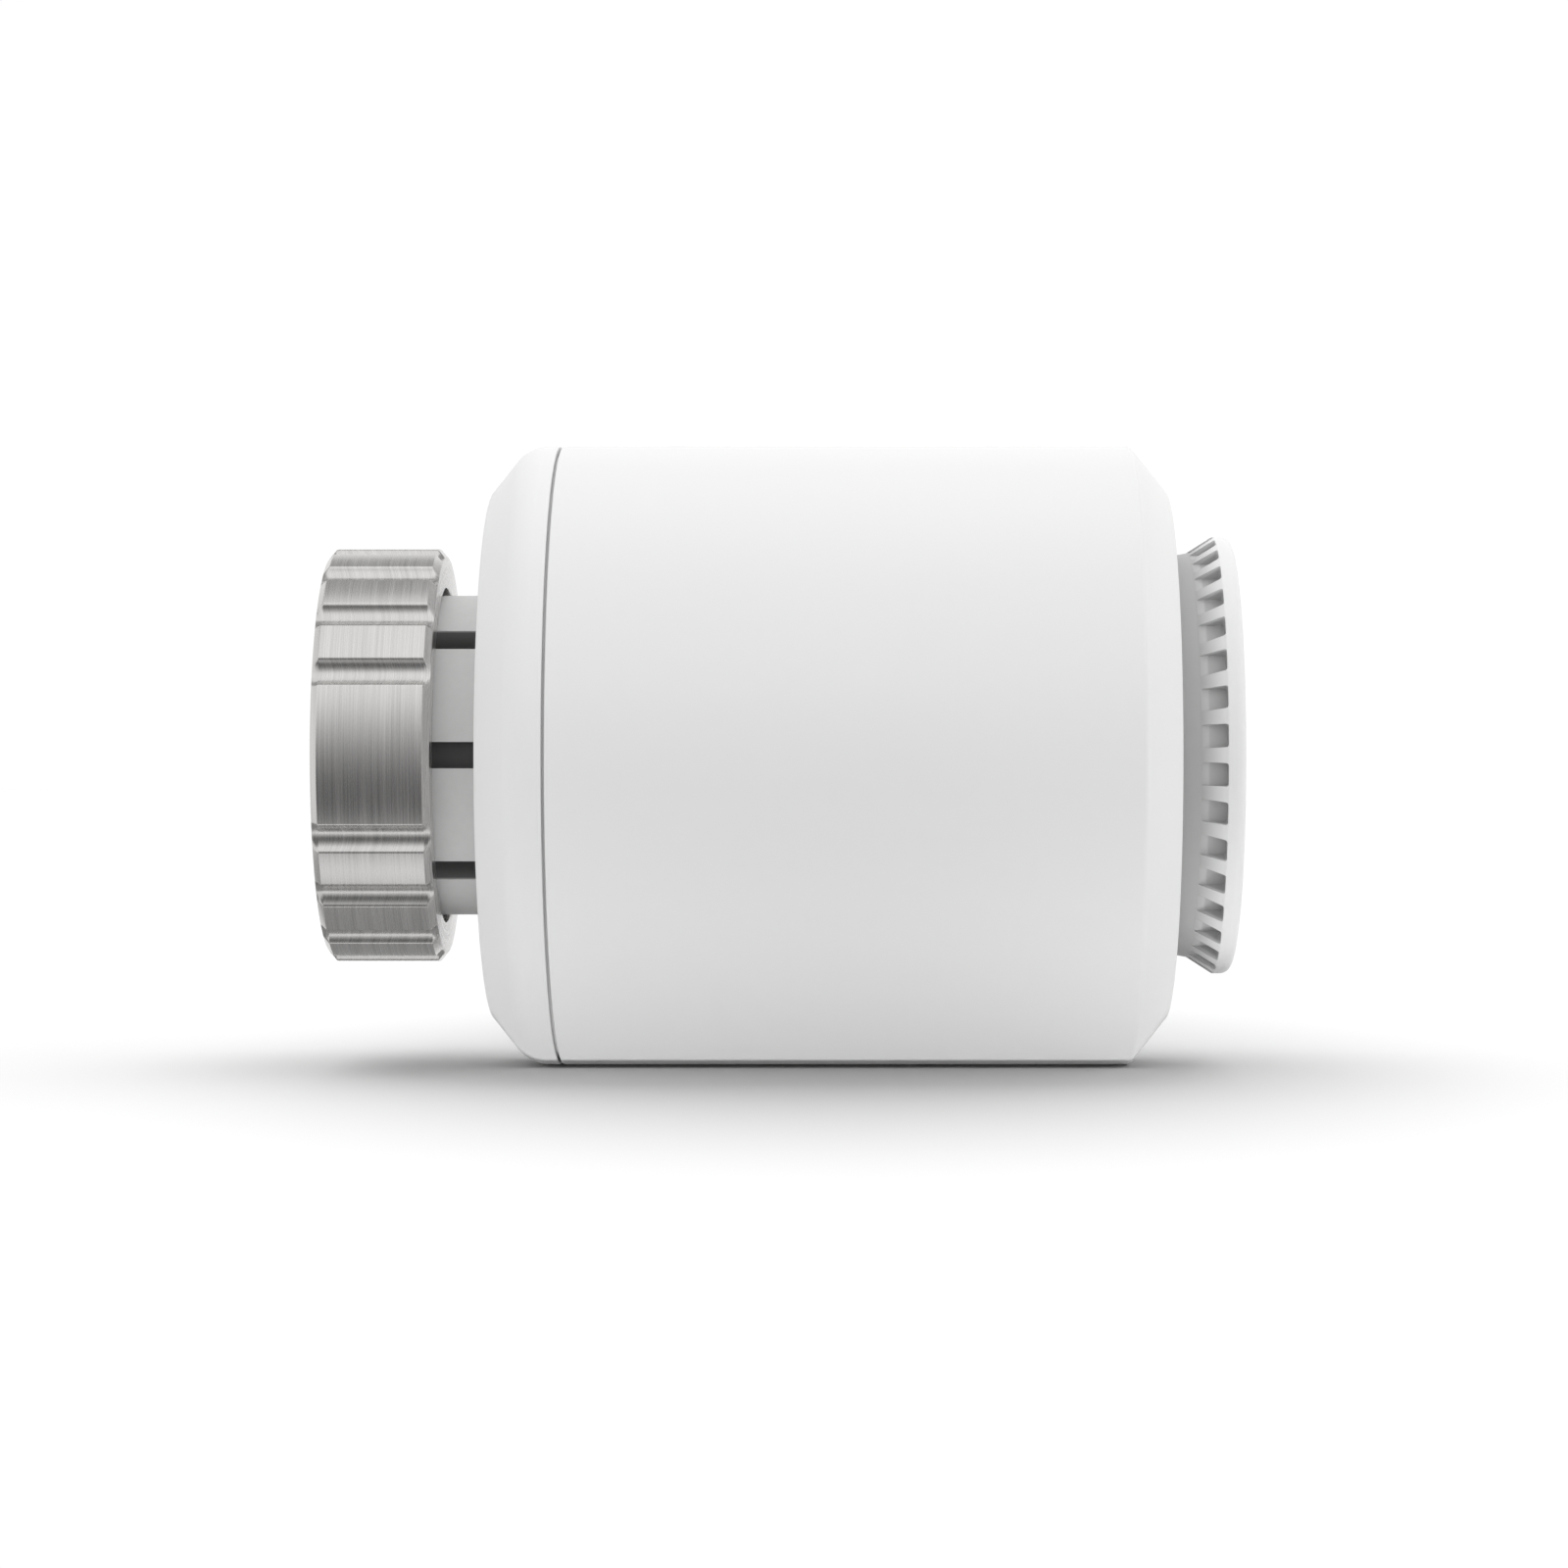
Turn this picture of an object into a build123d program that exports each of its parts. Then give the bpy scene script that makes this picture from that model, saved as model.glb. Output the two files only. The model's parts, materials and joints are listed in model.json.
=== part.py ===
from build123d import *
import math
import os

# A motorised radiator-valve head, millimetres. Its axis is X: the coupling nut is at the low end and the
# dial at the high end. The origin is on the axis, where the nut's thread wall starts. Z is up.

# ---- Driving dimensions: the housing -------------------------------------------------------------------
body_radius = 27.5
body_front = 13.45  # the housing's flat face on the nut's side
body_length = 59.7
wall = 1.8
end_wall = 2.0
cap_inner_slope = 2.0
front_face_radius = 23.35  # edge of the flat face on the nut's side
front_slope = 3.35  # axial length of the slope between that face and the cylinder
front_blend = 3.0
back_face_radius = 23.4
back_slope = 3.3
edge_round = 0.4
cap_length = 5.95  # from the housing's front face to the seam
seam_gap = 0.25
seam_round = 0.15
spigot_length = 5.0  # how far the base cap reaches inside the sleeve
spigot_wall = 1.5
spigot_bevel = 0.5
seal_radius = 0.5  # section of the seal ring
seal_place = 1.2  # from the sleeve's rim to the seal ring's groove

# ---- Driving dimensions: the nut, collar and pin -------------------------------------------------------
thread_radius = 14.19
thread_length = 6.2
lead_in = 1.0
nut_wall = 4.17  # from the thread wall to the nut's outside
nut_groove_depth = 1.81
nut_groove_length = 1.8
nut_lip_step = 0.71  # how far the nut's lip stands back from the thread wall
nut_lip_length = 1.2
nut_chamfer_length = 0.6
nut_chamfer_depth = 0.72
flute_radius = 1.4
flute_depth = 0.75
flute_pitch = 18.5  # degrees
flutes_in_group = 5
flute_groups = 3
collar_gap = 0.67  # between the nut's lip and the collar
collar_wall = 2.2
collar_lip_gap = 0.4  # between the nut's groove and the collar's lip that holds the nut
collar_lip_bevel = 0.6
collar_flange_length = 1.0  # the flange behind the housing's end wall
collar_flange_reach = 2.3
collar_slot_width = 2.27
collar_slots = 8
guide_bore = 8.0
guide_start = 7.2
pin_head_length = 2.0
pin_tip = 11.0  # the pin's tip when drawn back
pin_stem_radius = 3.0
pin_travel = 4.5
pin_stem_spare = 1.0  # how far the stem stands through the gear at full travel
pin_stem_bevel = 0.4
pin_cap_radius = 2.5
pin_cap_depth = 1.2
pin_cap_height = 0.2  # how far the cap stands out of the pin's face
pin_cap_bevel = 0.15
key_width = 2.0
key_depth = 1.0
key_root = 0.2  # how far each key runs into the guide tube's wall

# ---- Driving dimensions: the dial ----------------------------------------------------------------------
hub_radius = 15.5
hub_bore = 14.2
hub_length = 3.8
dial_neck_radius = 17.67
dial_flare_radius = 18.0
dial_radius = 19.45
dial_neck_length = 1.75
dial_flare_length = 2.25
dial_rim_length = 1.55
dial_rim_round = 0.85
dial_lip_length = 1.7
dial_lip_bore = 14.4
pocket_count = 36
pocket_width = 2.0
dial_lip_round = 0.3
washer_length = 0.3
washer_width = 1.5
snap_ring_place = 1.4  # from the housing's back face to the groove
snap_groove_depth = 0.6
snap_ring_length = 0.6
snap_ring_opening = 2.0
snap_ring_reach = 0.64  # how far the snap ring stands into the dial
magnet_ring_wall = 0.9
magnet_ring_length = 1.3
button_travel = 0.5
button_recess = 0.5  # how far the button's rim lies behind the dial's front
button_round = 0.3
button_floor = 0.9
button_foot_side = 4.0
button_window_width = 16.0
button_window_height = 12.0
lens_radius = 12.5
lens_length = 1.2
lens_recess = 0.1
button_skirt_wall = 1.0
button_skirt_inset = 0.3  # how far the skirt stands inside the lens's edge

# ---- Driving dimensions: gears and motor ---------------------------------------------------------------
gear_module = 0.4
pressure_angle = math.radians(25)
tooth_head = 0.8  # tooth height outside the pitch circle, in modules
tooth_foot = 1.05  # tooth height inside it, in modules
backlash = 0.09
spindle_teeth = 36
second_pinion_teeth = 12
second_wheel_teeth = 24
third_pinion_teeth = 12
third_wheel_teeth = 28
motor_pinion_teeth = 10
third_gear_direction = -10.0  # degrees, from the second gear to the third
motor_direction = 115.0  # degrees, from the third gear to the motor
spindle_gear_length = 3.0
wheel_length = 1.3
wheel_gap = 0.3  # between one gear's wheel and the next
second_wheel_gap = 0.5  # between the spindle gear and the second gear's wheel
gear_hub_radius = 1.5
axle_radius = 0.75
axle_depth = 1.0  # how far each axle sits in the floor
axle_head_depth = 0.8  # how far each axle sits in the cover
motor_radius = 7.0
motor_flat = 5.6  # from the motor's axis to each flat side of its can
motor_length = 18.0
motor_boss_radius = 2.5
motor_boss_length = 1.1
motor_bevel = 0.4
shaft_length_in_motor = 12.0
bell_inset = 0.9
bell_flat_inset = 0.7
bell_length = 1.6
bell_hub_radius = 2.2
bell_hub_length = 0.8
terminal_spread = 3.4
terminal_length = 2.4
terminal_width = 1.4
terminal_thickness = 0.4
terminal_hold = 0.9  # from the end bell to the strips
spindle_nut_radius = 4.0
gearbox_floor = 1.2
gearbox_wall = 0.9
gearbox_cover_length = 1.2
gearbox_cover_gap = 0.9  # between the last wheel and the cover
thrust_length = 0.6
thrust_gap = 0.28  # between the thrust washer and the second gear's wheel
lug_radius = 2.6
lug_circle = 19.3
lug_directions = (143.0, 9.0, 186.0)  # degrees
screw_radius = 1.0
screw_head_radius = 1.9
screw_head_length = 1.3
screw_cross_depth = 0.6
screw_cross_width = 0.5
screw_cross_length = 2.2

# ---- Driving dimensions: cells and boards --------------------------------------------------------------
cell_radius = 7.25
cell_length = 50.5
cell_nub_radius = 2.7
cell_nub_length = 1.2
cell_gap = 0.3
contact_thickness = 0.3
contact_margin = 2.95  # how far each contact plate stays inside its cell's edge
spring_length = 2.0
spring_wire_radius = 0.3
spring_coil_radius = 3.6
spring_turns = 2
holder_wall = 1.0
holder_gap = 0.5  # from the holder's end to the sleeve's end wall
end_cut_lead = 4.0
holder_rib_width = 4.0
holder_rib_height = 3.6
cradle_rise = 0.9  # from the cells' upper side to the cradle's top
cradle_depth = 1.0  # from the cells' middle to the cradle's underside
cradle_side = 1.4  # how far the cradle reaches past the cells
cradle_gap = 0.4  # from the gearbox screws' heads to the cradle
plate_drop = 0.6  # how far the end plates stay below the cradle's top
upright_wall = 1.4
upright_gap = 1.14  # from the upright's top to the motor's strips
upright_root = 0.4
window_length = 10.0
window_height = 8.0
window_middle = 2.0
window_places = (5.0, 20.0)  # from the cradle's start
board_thickness = 1.2
board_height = 24.0
board_corner = 1.5
board_rise = 1.0  # from the cradle to the main board
board_inset = 0.8  # from the cradle's start to the main board's start
board_setback = 3.4  # from the holder's end to the main board's end
# Each box on the main board: place along the board, length, place up the board, height, depth.
controller_box = (8.0, 7.0, 8.0, 7.0, 1.0)
radio_box = (21.0, 11.0, 9.0, 13.0, 1.9)
sensor_box = (1.0, 1.2, 20.0, 2.2, 1.1)
capacitor_along = 23.0
capacitor_up = 4.2
small_chip_length = 1.6
small_chip_height = 0.8
small_chip_depth = 0.6
small_chip_start = 2.4
small_chip_pitch = 2.4
small_chip_columns = 7
small_chip_rows = (2.2, 4.6)
tall_chip_box = (4.0, 0.9, 18.0, 1.7, 0.7)
tall_chip_pitch = 3.4
tall_chip_columns = 4
main_board_y = -10.0  # the main board's back face
pin_block_length = 5.6
pin_block_reach = 1.0  # how far the pin block runs past the main board
pin_block_width = 5.2
feed_pins = 4
feed_pitch = 2.0
feed_top = 6.0
feed_side = 2.6  # from the main board to the pins
feed_radius = 0.6
feed_tip_radius = 0.35
feed_tip_length = 0.8
capacitor_radius = 2.5
capacitor_length = 4.6
can_round = 0.4
display_width = 15.0
display_length = 1.8
display_size = 11.0
display_height = 2.6  # z of the display
switch_height = -8.2  # z of the push switch
switch_side = 4.5
switch_length = 1.9
switch_radius = 1.2
switch_bore_floor = 0.3
plunger_depth = 0.9
plunger_height = 0.15
hall_margin = 1.5  # from the button's skirt to the middle of each hall sensor
hall_length = 0.9
hall_width = 1.4
hall_height = 2.6
hall_directions = (160, 200)
carrier_screw_radius = 0.5
carrier_screw_length = 2.0
carrier_screw_directions = (90, 210, 330)

# ---- Clearances ----------------------------------------------------------------------------------------
running_fit = 0.05
loose_fit = 0.2
part_gap = 0.15
gear_gap = 0.35  # between a gear's tips and the gearbox wall
floor_gap = 0.3  # between the spindle gear and the gearbox floor
board_gap = 0.2
touch_gap = 0.1
slip = 0.02
dial_fit = 0.06

# ---- Places along the axis -----------------------------------------------------------------------------
body_back = body_front + body_length
seam = body_front + cap_length
sleeve_start = seam + seam_gap
sleeve_bore = body_radius - wall
cap_inside = body_front + end_wall
sleeve_inside = body_back - end_wall
nut_radius = thread_radius + nut_wall
nut_groove_radius = thread_radius + nut_groove_depth
nut_lip_radius = thread_radius + nut_lip_step
collar_radius = nut_lip_radius - collar_gap
collar_lip_radius = nut_groove_radius - collar_lip_gap
spigot_radius = sleeve_bore - part_gap
spigot_bore = spigot_radius - spigot_wall
nut_front = -lead_in
groove_end = thread_length + nut_groove_length
nut_back = groove_end + nut_lip_length
collar_bore = collar_radius - collar_wall
collar_front = thread_length + loose_fit
collar_back = cap_inside + collar_flange_length
collar_back_radius = collar_radius + collar_flange_reach
housing_start = collar_back + loose_fit
dial_back = body_back + part_gap
flare_start = dial_back + dial_neck_length
rim_start = flare_start + dial_flare_length
dial_front = rim_start + dial_rim_length
dial_bore = hub_radius + dial_fit
hub_front = body_back + hub_length
lip_start = dial_front - dial_lip_length

# ---- Places across the axis: (y, z) of each shaft and cell ---------------------------------------------


def pitch_radius(teeth):
    """Radius of a gear's pitch circle."""
    return gear_module * teeth / 2


def tip_radius(teeth):
    """Radius over the tips of a gear's teeth."""
    return pitch_radius(teeth) + tooth_head * gear_module


def beside(centre, distance, degrees):
    """The point at a distance and direction from another point across the axis."""
    turn = math.radians(degrees)
    return (centre[0] + distance * math.cos(turn), centre[1] + distance * math.sin(turn))


axis_centre = (0.0, 0.0)
second_centre = beside(axis_centre, pitch_radius(spindle_teeth + second_pinion_teeth), 90)
third_centre = beside(
    second_centre, pitch_radius(second_wheel_teeth + third_pinion_teeth), third_gear_direction
)
motor_centre = beside(
    third_centre, pitch_radius(third_wheel_teeth + motor_pinion_teeth), motor_direction
)
lug_centres = [beside(axis_centre, lug_circle, turn) for turn in lug_directions]
cell_circle = spigot_bore - loose_fit - cell_radius
cell_half_angle = math.degrees(math.asin((cell_radius + cell_gap / 2) / cell_circle))
cell_centres = [
    beside(axis_centre, cell_circle, -90 - cell_half_angle),
    beside(axis_centre, cell_circle, -90 + cell_half_angle),
]

# ---- Helpers -------------------------------------------------------------------------------------------
os.makedirs("parts", exist_ok=True)


def save(piece, name):
    """Labels a finished piece and writes it."""
    piece.label = name
    export_step(piece, f"parts/{name}.step")


def turned(points, mode=Mode.ADD):
    """A ring turned about the X axis from (x, radius) corners."""
    with BuildSketch(Plane.XY) as profile:
        with BuildLine():
            Polyline(*points, close=True)
        make_face()
    revolve(profile.sketch, axis=Axis.X, mode=mode)


def ring_points(start, end, outer, inner):
    """The (x, radius) corners of a plain ring."""
    return [(start, inner), (end, inner), (end, outer), (start, outer)]


def slab(start, end, radius, centres=(axis_centre,), mode=Mode.ADD):
    """Round slabs or holes along X, one at each (y, z) centre."""
    with BuildSketch(Plane.YZ.offset(start)) as outline:
        with Locations(*centres):
            Circle(radius)
    extrude(outline.sketch, amount=end - start, mode=mode)


def block(start, end, width, height, centres=(axis_centre,), mode=Mode.ADD):
    """Rectangular blocks along X, width along Y and height along Z, one at each (y, z) centre."""
    with BuildSketch(Plane.YZ.offset(start)) as outline:
        with Locations(*centres):
            Rectangle(width, height)
    extrude(outline.sketch, amount=end - start, mode=mode)


def involute(angle):
    """The involute function of a pressure angle."""
    return math.tan(angle) - angle


def gear_outline(teeth, centre, tooth_degrees):
    """Corners of a gear's outline, with one tooth centred on the direction tooth_degrees."""
    pitch = pitch_radius(teeth)
    base = pitch * math.cos(pressure_angle)
    root = pitch - tooth_foot * gear_module
    tip = tip_radius(teeth)
    widest = math.pi / (2 * teeth) - backlash / (2 * pitch) + involute(pressure_angle)
    flank_start = max(base, root + slip)
    steps = 3
    flank = [(root, widest)]
    for step in range(steps + 1):
        radius = flank_start + (tip - flank_start) * step / steps
        flank.append((radius, widest - involute(math.acos(min(1.0, base / radius)))))
    corners = []
    for tooth in range(teeth):
        middle = math.radians(tooth_degrees) + 2 * math.pi * tooth / teeth
        side_in = [(radius, middle - half) for radius, half in flank]
        side_out = [(radius, middle + half) for radius, half in reversed(flank)]
        corners += side_in + side_out
    return [beside(centre, radius, math.degrees(turn)) for radius, turn in corners]


def gear(start, end, teeth, centre, tooth_degrees):
    """A spur gear along X."""
    with BuildSketch(Plane.YZ.offset(start)) as outline:
        with BuildLine():
            Polyline(*gear_outline(teeth, centre, tooth_degrees), close=True)
        make_face()
    extrude(outline.sketch, amount=end - start)


def facing_gap(direction, teeth):
    """Where a tooth of the driven gear lies so that a gap meets the tooth that points along direction."""
    return direction + 180 + 180 / teeth


# ---- Coupling nut --------------------------------------------------------------------------------------
flute_circle = nut_radius - flute_depth + flute_radius
flute_directions = [
    240 + 360 / flute_groups * group + flute_pitch * (place - (flutes_in_group - 1) / 2)
    for group in range(flute_groups)
    for place in range(flutes_in_group)
]
with BuildPart() as coupling_nut:
    turned(
        [
            (nut_front, nut_radius - nut_chamfer_depth),
            (nut_front + nut_chamfer_length, nut_radius),
            (nut_back - nut_chamfer_length, nut_radius),
            (nut_back, nut_radius - nut_chamfer_depth),
            (nut_back, nut_lip_radius),
            (groove_end, nut_lip_radius),
            (groove_end, nut_groove_radius),
            (thread_length, nut_groove_radius),
            (thread_length, thread_radius),
            (0, thread_radius),
            (nut_front, thread_radius + lead_in),
        ]
    )
    slab(
        nut_front,
        nut_back,
        flute_radius,
        [beside(axis_centre, flute_circle, turn) for turn in flute_directions],
        Mode.SUBTRACT,
    )
save(coupling_nut.part, "coupling_nut")

# ---- Collar: the slotted neck that the nut is held on --------------------------------------------------
with BuildPart() as collar:
    turned(
        [
            (collar_front, collar_bore),
            (collar_back, collar_bore),
            (collar_back, collar_back_radius),
            (cap_inside, collar_back_radius),
            (cap_inside, collar_radius),
            (groove_end - loose_fit, collar_radius),
            (groove_end - loose_fit, collar_lip_radius),
            (collar_front + collar_lip_bevel, collar_lip_radius),
            (collar_front, collar_lip_radius - collar_lip_bevel),
        ]
    )
    slab(cap_inside, collar_back, lug_radius + part_gap, lug_centres, Mode.SUBTRACT)
    with BuildSketch(Plane.YZ.offset(collar_front)):
        with PolarLocations(collar_radius, collar_slots):
            Rectangle(3 * collar_wall, collar_slot_width)
    extrude(amount=body_front + part_gap - collar_front, mode=Mode.SUBTRACT)
save(collar.part, "collar")

# ---- Guide tube: the pin slides in it, and its two keys stop the pin from turning ----------------------
key_middle = guide_bore - (key_depth - key_root) / 2
with BuildPart() as guide_tube:
    turned(ring_points(guide_start, collar_back, collar_bore - running_fit, guide_bore))
    block(
        guide_start,
        collar_back,
        key_width,
        key_depth + key_root,
        [(0, key_middle), (0, -key_middle)],
    )
save(guide_tube.part, "guide_tube")

# ---- Base cap ------------------------------------------------------------------------------------------
seal_groove_radius = spigot_radius - 2 * seal_radius + part_gap / 2
seal_groove_start = sleeve_start + seal_place
seal_groove_end = seal_groove_start + 2 * seal_radius + 2 * part_gap
spigot_end = seam + spigot_length
with BuildPart() as base_cap:
    with BuildSketch(Plane.XY) as cap_profile:
        with BuildLine():
            Polyline(
                (body_front, collar_radius),
                (body_front, front_face_radius),
                (body_front + front_slope, body_radius),
                (seam, body_radius),
                (seam, spigot_radius),
                (seal_groove_start, spigot_radius),
                (seal_groove_start, seal_groove_radius),
                (seal_groove_end, seal_groove_radius),
                (seal_groove_end, spigot_radius),
                (spigot_end - spigot_bevel, spigot_radius),
                (spigot_end, spigot_radius - spigot_bevel),
                (spigot_end, spigot_bore),
                (cap_inside + cap_inner_slope, spigot_bore),
                (cap_inside, spigot_bore - cap_inner_slope),
                (cap_inside, collar_radius),
                close=True,
            )
        make_face()
        fillet(
            cap_profile.vertices().sort_by_distance((body_front, front_face_radius))[0],
            radius=edge_round,
        )
        fillet(
            cap_profile.vertices().sort_by_distance((body_front + front_slope, body_radius))[0],
            radius=front_blend,
        )
        fillet(
            cap_profile.vertices().sort_by_distance((seam, body_radius))[0],
            radius=seam_round,
        )
    revolve(axis=Axis.X)
    slab(cap_inside, housing_start, lug_radius, lug_centres)
    slab(cap_inside, housing_start, screw_radius, lug_centres, Mode.SUBTRACT)
save(base_cap.part, "base_cap")

# ---- Seal ring: it holds the sleeve on the base cap by friction ----------------------------------------
seal_circle = seal_groove_radius + seal_radius
with BuildPart() as seal_ring:
    with BuildSketch(Plane.XY):
        with Locations(((seal_groove_start + seal_groove_end) / 2, seal_circle)):
            Circle(seal_radius)
    revolve(axis=Axis.X)
save(seal_ring.part, "seal_ring")

# ---- Outer sleeve with the hub that the dial turns on --------------------------------------------------
slope_run = (body_radius - back_face_radius) / back_slope
inner_corner = body_back - back_slope - wall * (math.sqrt(1 + slope_run**2) - 1) / slope_run
inner_face_radius = sleeve_bore - slope_run * (sleeve_inside - inner_corner)
snap_groove_start = body_back + snap_ring_place
snap_groove_end = snap_groove_start + snap_ring_length + loose_fit
snap_groove_radius = hub_radius - snap_groove_depth
with BuildPart() as outer_sleeve:
    with BuildSketch(Plane.XY) as sleeve_profile:
        with BuildLine():
            Polyline(
                (sleeve_start, sleeve_bore),
                (sleeve_start, body_radius),
                (body_back - back_slope, body_radius),
                (body_back, back_face_radius),
                (body_back, hub_radius),
                (snap_groove_start, hub_radius),
                (snap_groove_start, snap_groove_radius),
                (snap_groove_end, snap_groove_radius),
                (snap_groove_end, hub_radius),
                (hub_front, hub_radius),
                (hub_front, hub_bore),
                (sleeve_inside, hub_bore),
                (sleeve_inside, inner_face_radius),
                (inner_corner, sleeve_bore),
                close=True,
            )
        make_face()
        fillet(
            [
                sleeve_profile.vertices().sort_by_distance((body_back - back_slope, body_radius))[0],
                sleeve_profile.vertices().sort_by_distance((body_back, back_face_radius))[0],
            ],
            radius=edge_round,
        )
        fillet(
            sleeve_profile.vertices().sort_by_distance((sleeve_start, body_radius))[0],
            radius=seam_round,
        )
    revolve(axis=Axis.X)
save(outer_sleeve.part, "outer_sleeve")

# ---- Push pin ------------------------------------------------------------------------------------------
pin_head_radius = guide_bore - 2 * running_fit
pin_head_end = pin_tip + pin_head_length
spindle_gear_start = housing_start + gearbox_floor + floor_gap
spindle_gear_end = spindle_gear_start + spindle_gear_length
pin_stem_end = spindle_gear_end + pin_travel + pin_stem_spare
with BuildPart() as push_pin:
    slab(pin_tip, pin_head_end, pin_head_radius)
    slab(pin_head_end, pin_stem_end, pin_stem_radius)
    block(
        pin_tip,
        pin_head_end,
        key_width + 2 * loose_fit,
        2 * (key_depth + loose_fit),
        [(0, pin_head_radius), (0, -pin_head_radius)],
        Mode.SUBTRACT,
    )
    chamfer(
        push_pin.edges().filter_by(GeomType.CIRCLE).group_by(Axis.X)[-1], length=pin_stem_bevel
    )
    slab(pin_tip, pin_tip + pin_cap_depth, pin_cap_radius, mode=Mode.SUBTRACT)
save(push_pin.part, "push_pin")

# ---- Pin cap: the hard disc that meets the valve's stem ------------------------------------------------
with BuildPart() as pin_cap:
    slab(pin_tip - pin_cap_height, pin_tip + pin_cap_depth, pin_cap_radius)
    chamfer(
        pin_cap.edges().filter_by(GeomType.CIRCLE).group_by(Axis.X)[0], length=pin_cap_bevel
    )
save(pin_cap.part, "pin_cap")

# ---- Spindle nut and gear ------------------------------------------------------------------------------
with BuildPart() as spindle_nut:
    turned(
        ring_points(
            housing_start,
            spindle_gear_end + loose_fit,
            spindle_nut_radius,
            pin_stem_radius + running_fit,
        )
    )
save(spindle_nut.part, "spindle_nut")

with BuildPart() as spindle_gear:
    gear(spindle_gear_start, spindle_gear_end, spindle_teeth, axis_centre, 90)
    slab(spindle_gear_start, spindle_gear_end, spindle_nut_radius, mode=Mode.SUBTRACT)
save(spindle_gear.part, "spindle_gear")

thrust_start = spindle_gear_end + loose_fit + running_fit
thrust_radius = second_centre[1] - tip_radius(second_wheel_teeth) - thrust_gap
with BuildPart() as thrust_washer:
    turned(
        ring_points(
            thrust_start, thrust_start + thrust_length, thrust_radius, pin_stem_radius + loose_fit
        )
    )
save(thrust_washer.part, "thrust_washer")

# ---- Compound gears ------------------------------------------------------------------------------------
second_wheel_start = spindle_gear_end + second_wheel_gap
second_wheel_end = second_wheel_start + wheel_length
third_pinion_start = second_wheel_start - loose_fit
third_wheel_start = second_wheel_end + wheel_gap
third_wheel_end = third_wheel_start + wheel_length
axle_bore = axle_radius + running_fit
gear_foot = housing_start + gearbox_floor + loose_fit
with BuildPart() as second_gear:
    gear(
        spindle_gear_start,
        second_wheel_start,
        second_pinion_teeth,
        second_centre,
        facing_gap(90, second_pinion_teeth),
    )
    gear(
        second_wheel_start,
        second_wheel_end,
        second_wheel_teeth,
        second_centre,
        third_gear_direction,
    )
    slab(gear_foot, second_wheel_end, axle_bore, [second_centre], Mode.SUBTRACT)
save(second_gear.part, "second_gear")

with BuildPart() as third_gear:
    slab(gear_foot, third_pinion_start, gear_hub_radius, [third_centre])
    gear(
        third_pinion_start,
        third_wheel_start,
        third_pinion_teeth,
        third_centre,
        facing_gap(third_gear_direction, third_pinion_teeth),
    )
    gear(third_wheel_start, third_wheel_end, third_wheel_teeth, third_centre, motor_direction)
    slab(gear_foot, third_wheel_end, axle_bore, [third_centre], Mode.SUBTRACT)
save(third_gear.part, "third_gear")

# ---- Gearbox housing -----------------------------------------------------------------------------------
cover_start = third_wheel_end + gearbox_cover_gap
cover_end = cover_start + gearbox_cover_length
axle_start = housing_start + gearbox_floor - axle_depth
axle_end = cover_start + axle_head_depth
gear_places = [
    (axis_centre, tip_radius(spindle_teeth)),
    (second_centre, tip_radius(second_wheel_teeth)),
    (third_centre, tip_radius(third_wheel_teeth)),
    (motor_centre, tip_radius(motor_pinion_teeth)),
]


def gearbox_outline(margin, lugs):
    """The rounded outline around all the gears, a margin outside their teeth, with or without the lugs."""
    with BuildSketch() as outline:
        for centre, radius in gear_places:
            with Locations(centre):
                Circle(radius + margin)
        make_hull()
        if lugs:
            arm_length = lug_circle / 2
            for turn in lug_directions:
                with Locations(beside(axis_centre, lug_circle - arm_length / 2, turn)):
                    SlotCenterToCenter(arm_length, 2 * lug_radius, rotation=turn)
    return outline.sketch


with BuildPart() as gearbox_housing:
    with BuildSketch(Plane.YZ.offset(housing_start)):
        add(gearbox_outline(gear_gap + gearbox_wall, True))
    extrude(amount=cover_start - housing_start)
    with BuildSketch(Plane.YZ.offset(housing_start + gearbox_floor)):
        add(gearbox_outline(gear_gap, False))
    extrude(amount=cover_start - housing_start - gearbox_floor, mode=Mode.SUBTRACT)
    slab(housing_start, cover_start, spindle_nut_radius + running_fit, mode=Mode.SUBTRACT)
    slab(axle_start, cover_start, axle_radius, [second_centre, third_centre], Mode.SUBTRACT)
    slab(housing_start, cover_start, screw_radius, lug_centres, Mode.SUBTRACT)
save(gearbox_housing.part, "gearbox_housing")

with BuildPart() as gearbox_cover:
    with BuildSketch(Plane.YZ.offset(cover_start)):
        add(gearbox_outline(gear_gap + gearbox_wall, True))
    extrude(amount=gearbox_cover_length)
    slab(thrust_start + thrust_length, cover_end, thrust_radius)
    slab(thrust_start + thrust_length, cover_end, pin_stem_radius + loose_fit, mode=Mode.SUBTRACT)
    slab(cover_start, cover_end, motor_boss_radius, [motor_centre], Mode.SUBTRACT)
    slab(cover_start, axle_end, axle_radius, [second_centre, third_centre], Mode.SUBTRACT)
    slab(cover_start, cover_end, screw_radius, lug_centres, Mode.SUBTRACT)
save(gearbox_cover.part, "gearbox_cover")

with BuildPart() as gear_axles:
    slab(axle_start, axle_end, axle_radius, [second_centre, third_centre])
save(gear_axles.part, "gear_axles")

with BuildPart() as gearbox_screws:
    slab(cap_inside, cover_end, screw_radius, lug_centres)
    slab(cover_end, cover_end + screw_head_length, screw_head_radius, lug_centres)
    for degrees in (0, 90):
        with BuildSketch(Plane.YZ.offset(cover_end + screw_head_length - screw_cross_depth)):
            with Locations(*lug_centres):
                Rectangle(screw_cross_length, screw_cross_width, rotation=degrees)
        extrude(amount=screw_cross_depth, mode=Mode.SUBTRACT)
save(gearbox_screws.part, "gearbox_screws")

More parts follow.
